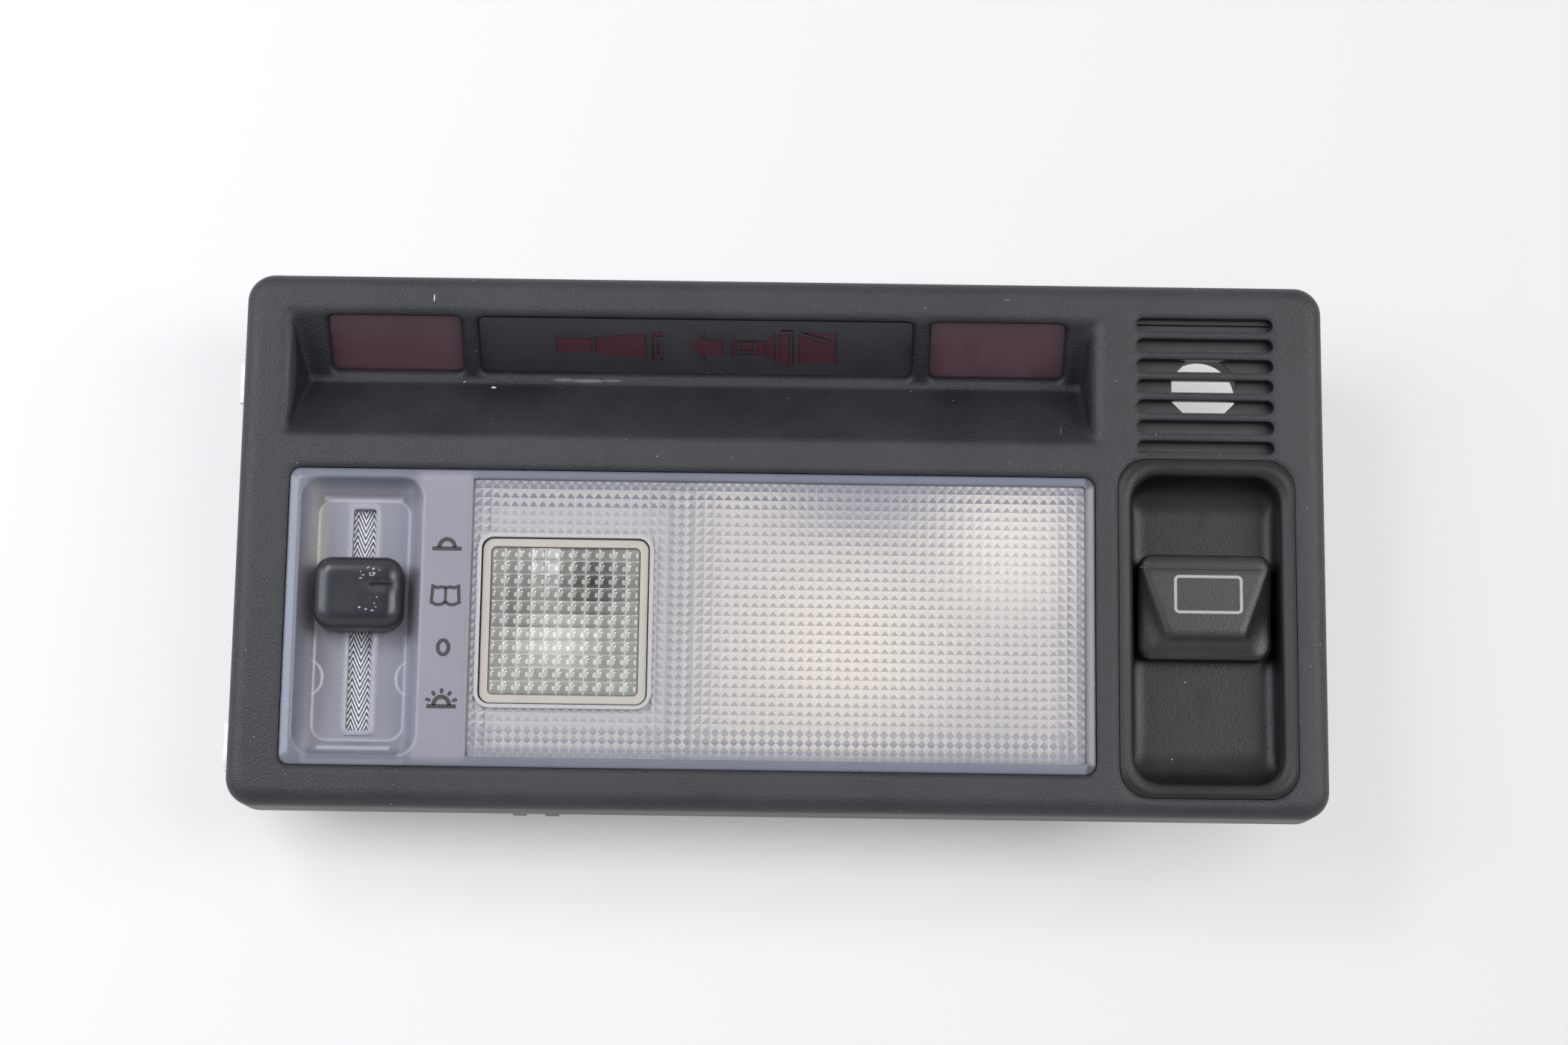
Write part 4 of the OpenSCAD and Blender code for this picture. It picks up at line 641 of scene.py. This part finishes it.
def chamber_light_and_shade(tree, surface, field):
    """Painted light and shade through the pyramids: reading chamber, divider, dome chamber and its glow."""
    rows = field_y[0] + 1.5 * mm, field_y[1] - 1.5 * mm
    inner = box_mask(tree, field_x[0] + 0.5 * mm, dome_edge + 2 * mm, *rows, 2 * mm, prism_bend)
    between = box_mask(tree, divider - 1.5 * mm, dome_edge + 1.5 * mm, *field_y, 1 * mm, prism_bend)
    dome = box_mask(tree, dome_edge, field_x[1] - 1.5 * mm, *rows, 3 * mm, prism_bend)
    layers = [(inner, 1.0, (0.52, 0.51, 0.52)), (between, 0.6, (0.36, 0.35, 0.38)),
              (dome, 1.0, (0.62, 0.58, 0.56))]
    # Spots of painted light and shade: a darker and a greyer patch, and two warm painted glows over the
    # bulb.
    for right, up, reach_x, reach_y, share, color in (
            (16, 23, 26, 12, 0.8, (0.3, 0.3, 0.35)), (40, -21, 26, 12, 0.35, (0.4, 0.39, 0.42)),
            (13, -5, 34, 25, 0.9, (0.82, 0.75, 0.68)), (43, 13, 20, 17, 0.75, (0.86, 0.8, 0.75))):
        spot = spot_mask(tree, across + right * mm, along + up * mm, reach_x * mm, reach_y * mm, prism_bend)
        layers.append((spot, share, color))
    glow = layers[-1][0]
    # Painted shade: over the dome, facets that face the lower long edge are darker, less so under the right
    # glow.
    facing = add(tree, "SeparateXYZ", {0: add(tree, "NewGeometry").outputs["True Normal"]}).outputs["Y"]
    painted_side_shade = add(tree, "MapRange", {"Value": facing, "From Min": -0.25, "From Max": -0.5}).outputs[0]
    open_dome = math_node(tree, "MULTIPLY", dome, math_node(
        tree, "SUBTRACT", 0.6, math_node(tree, "MULTIPLY", glow, 0.75 * 0.4)))
    place = add(tree, "SeparateXYZ", {0: add(tree, "TexCoord").outputs["Object"]}).outputs
    column = math_node(tree, "SUBTRACT", place["X"], field_x[0] - 0.04 * mm)
    pitch = (field_x[1] - field_x[0]) / field_columns
    seam = math_node(tree, "LESS_THAN", math_node(tree, "FLOORED_MODULO", column, pitch), 0.13 * mm)
    layers += [(math_node(tree, "MULTIPLY", painted_side_shade, open_dome), 1.0, (0.4, 0.4, 0.43)),
               (math_node(tree, "MULTIPLY", seam, field), 0.28, (0.8, 0.74, 0.66))]
    wall = blend_colors(tree, surface["Tone"], (0.24, 0.25, 0.3), (0.31, 0.32, 0.36))
    return paint_over(tree, wall, layers)


# %% Lens material
def lens_plastic():
    made, tree, shader = finish_material("lens_plastic", (0.5, 0.5, 0.52), 0.3, IOR=1.49,
                                         Transmission_Weight=0.1, Coat_Weight=0.3, Coat_Roughness=0.15)
    surface = place_group(tree, GRAIN, {"Size": 0.5 * mm, "Patch": 14 * mm})
    field = box_mask(tree, *field_x, *field_y, 0.1 * mm)
    tone = blend_colors(tree, field, rim_tone(tree, surface), chamber_light_and_shade(tree, surface, field))
    tree.links.new(tone, shader.inputs["Base Color"])
    vary_roughness(tree, shader, surface["Tone"], 0.2, 0.36)
    soft = math_node(tree, "SUBTRACT", 1.1 * mm, math_node(tree, "MULTIPLY", field, 1.04 * mm))
    bevel = add(tree, "Bevel", {"Radius": soft}, samples=8)
    bump = add(tree, "Bump", {"Strength": 0.15, "Distance": 0.02 * mm, "Height": surface["Height"],
                              "Normal": bevel.outputs[0]})
    tree.links.new(bump.outputs[0], shader.inputs["Normal"])
    return made


lens_material = lens_plastic()
moulding = as_piece("lens_moulding", sunken_lens(), lens_material, "housing")
prisms = as_piece("lens_prisms", pyramid_field(), lens_material, "housing")
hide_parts("dome_lens")
print("pyramid faces:", len(prisms.data.polygons))

# %% [markdown]
# ## The reading lamp
#
# The square optic is clear plastic with rows of pillow cells, over a bright bucket that throws the light
# down in a beam. Each cell is a small dome that shows a shrunken piece of the bucket, light or dark, with a
# light line where two cells meet. The domes are real geometry on the place of the CAD model's scored plate,
# and the bucket's light and dark reflections and the light lines are painted into their colour: painted
# reflections and painted highlights, read against the slope, as the lens does. The cream frame round it is
# moulded with the bucket, whose inside is metallised.

# %% Optic: a plate of 11 by 11 domed cells
optic_low, optic_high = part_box("reading_lens")
optic_cells = 11
dome_rise = 0.42 * mm
print("optic cell, mm:", round((optic_high[0] - optic_low[0]) / optic_cells / mm, 2))


def pillow_plate(steps=6):
    """A closed bmesh of domed square cells on a flat plate."""
    count = optic_cells * steps
    mesh = bmesh.new()
    rows = []
    for i in range(count + 1):
        row = []
        for j in range(count + 1):
            height = 1.0
            for k in (i, j):
                height *= 1 - (2 * (k % steps) / steps - 1) ** 2 if k % steps else 0.0
            x = optic_low[0] + (optic_high[0] - optic_low[0]) * i / count
            y = optic_low[1] + (optic_high[1] - optic_low[1]) * j / count
            row.append(mesh.verts.new((x, y, optic_high[2] - dome_rise * (1 - height ** 0.5))))
        rows.append(row)
    for i in range(count):
        for j in range(count):
            mesh.faces.new((rows[i][j], rows[i + 1][j], rows[i + 1][j + 1], rows[i][j + 1]))
    rim = [edge for edge in mesh.edges if edge.is_boundary]
    walls = bmesh.ops.extrude_edge_only(mesh, edges=rim)["geom"]
    for vertex in [item for item in walls if isinstance(item, bmesh.types.BMVert)]:
        vertex.co.z = optic_low[2]
    bmesh.ops.holes_fill(mesh, edges=[edge for edge in mesh.edges if edge.is_boundary], sides=0)
    bmesh.ops.recalc_face_normals(mesh, faces=mesh.faces)
    return mesh


# %% Optic and reflector finishes
def clear_optic():
    made, tree, shader = finish_material("clear_optic", (0.5, 0.5, 0.46), 0.08, IOR=1.49,
                                         Transmission_Weight=0.3, Coat_Weight=0.4, Coat_Roughness=0.05)
    surface = place_group(tree, GRAIN, {"Size": 0.9 * mm, "Patch": 5 * mm})
    # Painted reflections of the bucket: light and dark patches over the optic's colour.
    layers = [(spot_mask(tree, reading_center[0] + right * mm, reading_center[1] + up * mm, reach_x * mm,
                         reach_y * mm, 5 * mm), share, tint)
              for right, up, reach_x, reach_y, share, tint in optic_painted_reflections]
    painted_bucket_reflection = blend_colors(tree, surface["Tone"], (0.3, 0.29, 0.26), (0.46, 0.45, 0.41))
    tone = paint_over(tree, painted_bucket_reflection, layers)
    place = add(tree, "SeparateXYZ", {0: add(tree, "TexCoord").outputs["Object"]}).outputs
    pitch = (optic_high[0] - optic_low[0]) / optic_cells
    # Painted highlights: a light line where two cells meet.
    lines = []
    for axis, low, width in (("X", optic_low[0], 0.3 * mm), ("Y", optic_low[1], 0.14 * mm)):
        offset = math_node(tree, "SUBTRACT", place[axis], low - width / 2)
        cell = math_node(tree, "FLOORED_MODULO", offset, pitch)
        lines.append(math_node(tree, "LESS_THAN", cell, width))
    line = math_node(tree, "MULTIPLY", math_node(tree, "MAXIMUM", *lines), 0.6)
    tree.links.new(blend_colors(tree, line, tone, (0.88, 0.88, 0.82)), shader.inputs["Base Color"])
    vary_roughness(tree, shader, surface["Tone"], 0.04, 0.14)
    return made


def bucket_finish():
    made, tree, shader = finish_material("bucket_finish", (0.5, 0.48, 0.42), 0.35)
    depth = add(tree, "SeparateXYZ", {0: add(tree, "TexCoord").outputs["Object"]}).outputs["Z"]
    inner = math_node(tree, "LESS_THAN", depth, face_z - 1.9 * mm)
    surface = place_group(tree, GRAIN, {"Size": 0.5 * mm, "Patch": 6 * mm})
    cream = blend_colors(tree, surface["Tone"], (0.42, 0.39, 0.35), (0.52, 0.48, 0.43))
    silver = blend_colors(tree, surface["Tone"], (0.62, 0.64, 0.6), (0.86, 0.87, 0.84))
    tree.links.new(blend_colors(tree, inner, cream, silver), shader.inputs["Base Color"])
    tree.links.new(inner, shader.inputs["Metallic"])
    vary_roughness(tree, shader, inner, 0.38, 0.14)
    bevel = add(tree, "Bevel", {"Radius": 0.3 * mm}, samples=4)
    bump = add(tree, "Bump", {"Strength": 0.2, "Distance": 0.03 * mm, "Height": surface["Height"],
                              "Normal": bevel.outputs[0]})
    tree.links.new(bump.outputs[0], shader.inputs["Normal"])
    return made


# Each painted reflection of the bucket is its place from the optic's middle, its reach, its share and its
# colour.
optic_painted_reflections = [(5.5, 7.5, 11, 9, 0.97, (0.05, 0.05, 0.045)), (-9.5, 4, 6, 12, 0.8, (0.15, 0.15, 0.135)),
               (-3.5, 11, 3, 5, 0.9, (0.9, 0.9, 0.86)), (-2, -4, 12, 7, 0.8, (0.84, 0.8, 0.72))]
optic_clear = clear_optic()
bucket = bucket_finish()
optic = as_piece("reading_optic", pillow_plate(), optic_clear, "housing", smooth=True)
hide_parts("reading_lens")
print("reading lamp finishes made")

# %% [markdown]
# ## Printed signs
#
# Four generic signs beside the slide switch tell its positions: half-round lamp, open book, a nought, and a
# lamp with rays. They are print, so each is a flat ribbon mesh a few hundredths of a millimetre above the
# lens. A function turns a line of points into such a ribbon, mitred at its corners, which is how a pen of
# one width draws. The same pen draws the dark lines on the foil that complete the belt signs, and the
# outlined rectangle on the rocker.

# %% Ribbon helper
def heading(start, end):
    """The direction of a line, or None for one without length."""
    return None if start == end else math.atan2(end[1] - start[1], end[0] - start[0])


def ribbon(mesh, points, width, z, closed=False):
    """Adds a flat line of one width to a bmesh, through points in the plane."""
    count = len(points)
    sides = []
    for i in range(count):
        before = points[i - 1] if i or closed else points[i]
        after = points[(i + 1) % count] if i + 1 < count or closed else points[i]
        first = heading(before, points[i])
        second = heading(points[i], after)
        first = second if first is None else first
        second = first if second is None else second
        turn = math.remainder(second - first, 2 * math.pi)
        normal = first + turn / 2 + math.pi / 2
        reach = width / 2 / max(0.4, math.cos(turn / 2))
        sides.append([mesh.verts.new((points[i][0] + s * reach * math.cos(normal),
                                      points[i][1] + s * reach * math.sin(normal), z)) for s in (-1, 1)])
    for i in range(count if closed else count - 1):
        here, there = sides[i], sides[(i + 1) % count]
        mesh.faces.new((here[0], there[0], there[1], here[1]))


def arc(x, y, radius_x, radius_y, start, end, steps):
    """Points on a stretch of an ellipse, angles in degrees."""
    angles = [math.radians(start + (end - start) * k / steps) for k in range(steps + 1)]
    return [(x + radius_x * math.cos(angle), y + radius_y * math.sin(angle)) for angle in angles]


# %% Printing ink
def print_ink(name, color, faded):
    made, tree, shader = finish_material(name, color, 0.5)
    surface = place_group(tree, GRAIN, {"Size": 0.25 * mm, "Patch": 1.5 * mm})
    tree.links.new(blend_colors(tree, surface["Tone"], color, faded), shader.inputs["Base Color"])
    vary_roughness(tree, shader, surface["Height"], 0.4, 0.6)
    return made


ink_dark = print_ink("ink_dark", (0.022, 0.02, 0.022), (0.045, 0.042, 0.045))
ink_pale = print_ink("ink_pale", (0.4, 0.4, 0.41), (0.3, 0.3, 0.3))
print("inks:", ink_dark.name, ink_pale.name)

# %% The four signs
sign_x = field_x[0] - 4.6 * mm
sign_z = lens_z + 0.03 * mm
sign_y = [-1.5 * mm - 9.8 * mm * k for k in range(4)]
pen = 0.78 * mm
thin_pen = 0.62 * mm


def lamp_sign(mesh, x, y, rays):
    """A half-round lamp on its base line, with or without rays."""
    ribbon(mesh, [(x - 2.75 * mm, y - 0.9 * mm), (x + 2.75 * mm, y - 0.9 * mm)], pen, sign_z)
    ribbon(mesh, arc(x, y - 0.7 * mm, 1.45 * mm, 1.6 * mm, 0, 180, 20), pen, sign_z)
    if rays:
        for angle in (22, 56, 90, 124, 158):
            away = math.cos(math.radians(angle)), math.sin(math.radians(angle))
            ends = [(x + r * away[0], y - 0.7 * mm + r * away[1]) for r in (2.2 * mm, 3.15 * mm)]
            ribbon(mesh, ends, thin_pen, sign_z)


def book_sign(mesh, x, y):
    """An open book: the outline of each page, and the fold."""
    page = ((0, 1.45), (0.85, 1.62), (1.6, 1.45), (2.4, 1.75),
            (2.6, -1.3), (1.6, -1.75), (0.65, -1.65), (0, -1.2))
    for side in (-1, 1):
        ribbon(mesh, [(x + side * w * mm, y + h * mm) for w, h in page], thin_pen, sign_z)
    ribbon(mesh, [(x, y + 1.4 * mm), (x, y - 1.2 * mm)], 0.5 * mm, sign_z)


signs = bmesh.new()
lamp_sign(signs, sign_x, sign_y[0], rays=False)
book_sign(signs, sign_x, sign_y[1])
nought = arc(sign_x - 0.1 * mm, sign_y[2], 1.0 * mm, 1.35 * mm, 0, 345, 23)
ribbon(signs, nought, 0.72 * mm, sign_z, closed=True)
lamp_sign(signs, sign_x - 0.1 * mm, sign_y[3] - 0.35 * mm, rays=True)
sign_piece = as_piece("printed_signs", signs, ink_dark, "housing")
print("sign faces:", len(sign_piece.data.polygons))

# %% Dark lines inside the belt signs
foil_faces = [face for face in nodes["display_mask"].data.polygons if face.normal.z > 0.1]
foil_face = max(foil_faces, key=lambda face: face.area)


def foil_height(x, y):
    """Height of the foil's upper face over a point, with a hair of room."""
    normal, center = foil_face.normal, foil_face.center
    return center.z - (normal.x * (x - center.x) + normal.y * (y - center.y)) / normal.z + 0.04 * mm


belt_lines = bmesh.new()
for x0, x1, y0, y1 in ((-23.2, -22.0, 37.5, 40.2), (-7.2, -3.9, 38.2, 39.5), (0.2, 3.0, 35.7, 41.3)):
    corners = [(x0 * mm, y0 * mm), (x1 * mm, y0 * mm), (x1 * mm, y1 * mm), (x0 * mm, y1 * mm)]
    ribbon(belt_lines, corners, 0.42 * mm, 0.0, closed=True)
ribbon(belt_lines, [(4.4 * mm, 41.2 * mm), (10.6 * mm, 39.9 * mm)], 0.35 * mm, 0.0)
for vertex in belt_lines.verts:
    vertex.co.z = foil_height(vertex.co.x, vertex.co.y)
belt_piece = as_piece("belt_lines", belt_lines, foil_dark, "housing")
print("foil slope:", round(math.degrees(math.acos(foil_face.normal.z)), 1), "degrees")

# %% The outlined rectangle on the rocker
cap_low, cap_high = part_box("rocker_cap")
mark_center = (cap_low[0] + cap_high[0]) / 2 + 0.5 * mm, cap_low[1] + 12.0 * mm
mark_half = 6.18 * mm, 3.38 * mm
mark_z = cap_high[2] - 0.27 * mm
mark_r = 0.7 * mm
outline = []
for quarter, (sx, sy) in enumerate(((1, 1), (-1, 1), (-1, -1), (1, -1))):
    x = mark_center[0] + sx * (mark_half[0] - mark_r)
    y = mark_center[1] + sy * (mark_half[1] - mark_r)
    outline += arc(x, y, mark_r, mark_r, 90 * quarter, 90 * quarter + 90, 6)
mark = bmesh.new()
ribbon(mark, outline, 0.54 * mm, mark_z, closed=True)
mark_piece = as_piece("rocker_mark", mark, ink_pale, "rocker")
print("signs and mark printed")

# %% [markdown]
# ## Every node gets its finish
#
# The CAD nodes keep their shapes and only change material.

# %% Assign materials to the nodes
finishes = {
    bezel_black: ["bezel"],
    recess_black_painted_shade: ["switch_tray"],
    cap_black: ["rocker_cap"],
    knob_black: ["slide_knob"],
    duct_black: ["sensor_duct", "switch_body", "display_holders", "reading_holder"],
    white_plastic: ["lamp_body", "dome_reflector", "slide_carrier", "rocker_plunger"],
    grey_plastic: ["display_box"],
    tape_cloth: ["slot_tape"],
    filter_red: ["display_filter"],
    foil_dark: ["display_mask"],
    optic_clear: ["reading_lens"],
    bucket: ["reading_reflector"],
    lens_material: ["dome_lens"],
    bulb_clear: ["display_bulbs", "reading_bulb", "festoon_bulb"],
    brass: ["slide_contact", "contact_rails", "festoon_contact_left", "festoon_contact_right",
            "connector_pins", "switch_contacts"],
    spring_steel: ["detent_strip", "plunger_spring", "spring_clips"],
    zinc_steel: ["display_screws", "lamp_screws", "switch_screws", "rocker_pin"],
}
for finish, names in finishes.items():
    for name in names:
        for place in nodes[name].material_slots:
            place.material = finish
dressed = sorted(name for names in finishes.values() for name in names)
print("nodes without a finish:", sorted(set(nodes) - set(dressed)))

# %% [markdown]
# ## The table and the light
#
# The lamp unit lies on a white table between two soft boxes, with a smaller key lamp at the upper left that
# gives the crisp shadow inside the windows. The table keeps the object's shadow, and to the camera, to
# glossy surfaces and through glass part of it glows at strength 1, so the shadow stays as light as in the
# studio. That glow carries painted shade: it is darker towards the right, a painted fall-off of the light,
# and darker close round the object by its ambient occlusion, a painted contact shadow. The world is white
# near the horizon and darker overhead in reflections, and dimmer as a light.

# %% Table
glow_share = 0.6
table_mesh = bmesh.new()
bmesh.ops.create_grid(table_mesh, x_segments=1, y_segments=1, size=2.5)
table_data = bpy.data.meshes.new("table")
table_mesh.to_mesh(table_data)
table_mesh.free()
table = bpy.data.objects.new("table", table_data)
table.location.z = -0.05 * mm


def white_table():
    made, tree, shader = finish_material("table_paint", (0.86, 0.86, 0.87), 0.6)
    path = add(tree, "LightPath").outputs
    seen = math_node(tree, "MAXIMUM", path["Is Camera Ray"], path["Is Glossy Ray"])
    seen = math_node(tree, "MAXIMUM", seen, path["Is Transmission Ray"])
    place = add(tree, "SeparateXYZ", {0: add(tree, "TexCoord").outputs["Object"]}).outputs
    # Painted shade: the glow falls off towards the right, as the light does.
    tone = add(tree, "MapRange", {"Value": place["X"], "From Min": -0.16, "From Max": 0.15,
                                  "To Min": 0.96, "To Max": 0.74}).outputs[0]
    # Painted contact shadow: the glow darkens where the object is close.
    contact_shadow = add(tree, "AmbientOcclusion", {"Distance": 16 * mm}, samples=8).outputs["AO"]
    tone = math_node(tree, "MULTIPLY", tone, math_node(tree, "POWER", contact_shadow, 1.6))
    glow = add(tree, "Emission", {"Color": add(tree, "CombineColor", {0: tone, 1: tone, 2: tone}).outputs[0],
                                  "Strength": 1.0})
    mixed = add(tree, "MixShader", {0: math_node(tree, "MULTIPLY", seen, glow_share), 1: shader.outputs[0],
                                    2: glow.outputs[0]})
    tree.links.new(mixed.outputs[0], tree.nodes["Material Output"].inputs["Surface"])
    return made


table_data.materials.append(white_table())
bpy.context.scene.collection.objects.link(table)
print("table top at", round(table.location.z / mm, 2), "mm")

# %% World and lamps
room_light = 0.36
world = bpy.data.worlds.new("studio")
world.use_nodes = True
bpy.context.scene.world = world
tree = world.node_tree
room = tree.nodes["Background"]
room.inputs["Color"].default_value = (0.97, 0.98, 1.0, 1)
path = add(tree, "LightPath").outputs
seen = math_node(tree, "MAXIMUM", path["Is Camera Ray"], path["Is Glossy Ray"])
seen = math_node(tree, "MAXIMUM", seen, path["Is Transmission Ray"])
height = add(tree, "SeparateXYZ", {0: add(tree, "TexCoord").outputs["Generated"]}).outputs["Z"]
overhead = add(tree, "MapRange", {"Value": height, "From Min": 0.65, "From Max": 1.0, "To Min": 1.0,
                                  "To Max": 0.15}).outputs[0]
shown = math_node(tree, "SUBTRACT", overhead, room_light)
strength = math_node(tree, "ADD", room_light, math_node(tree, "MULTIPLY", seen, shown))
tree.links.new(strength, room.inputs["Strength"])


def soft_lamp(name, place, aim, size, power, color=(1, 1, 1)):
    """A rectangular lamp at place that faces the aim point."""
    data = bpy.data.lights.new(name, "AREA")
    data.shape = "RECTANGLE"
    data.size, data.size_y = size
    data.energy = power
    data.color = color
    lamp = bpy.data.objects.new(name, data)
    lamp.location = place
    direction = [aim[i] - place[i] for i in range(3)]
    flat = math.hypot(direction[0], direction[1])
    lamp.rotation_euler = (math.atan2(flat, -direction[2]), 0.0,
                           math.atan2(direction[1], direction[0]) - math.pi / 2)
    bpy.context.scene.collection.objects.link(lamp)


soft_lamp("key", (-0.4, 0.42, 0.85), (0, 0, 0), (0.25, 0.25), 2.6)
soft_lamp("left_box", (-0.62, 0.12, 0.62), (0, 0, 0), (0.35, 0.7), 3.4, (0.8, 0.89, 1.0))
soft_lamp("right_box", (0.5, 0.08, 0.7), (0, 0, 0), (0.35, 0.7), 4.5, (1.0, 0.99, 0.97))
bpy.context.scene.view_settings.view_transform = "Standard"
print("lamps:", [lamp.name for lamp in bpy.data.lights])
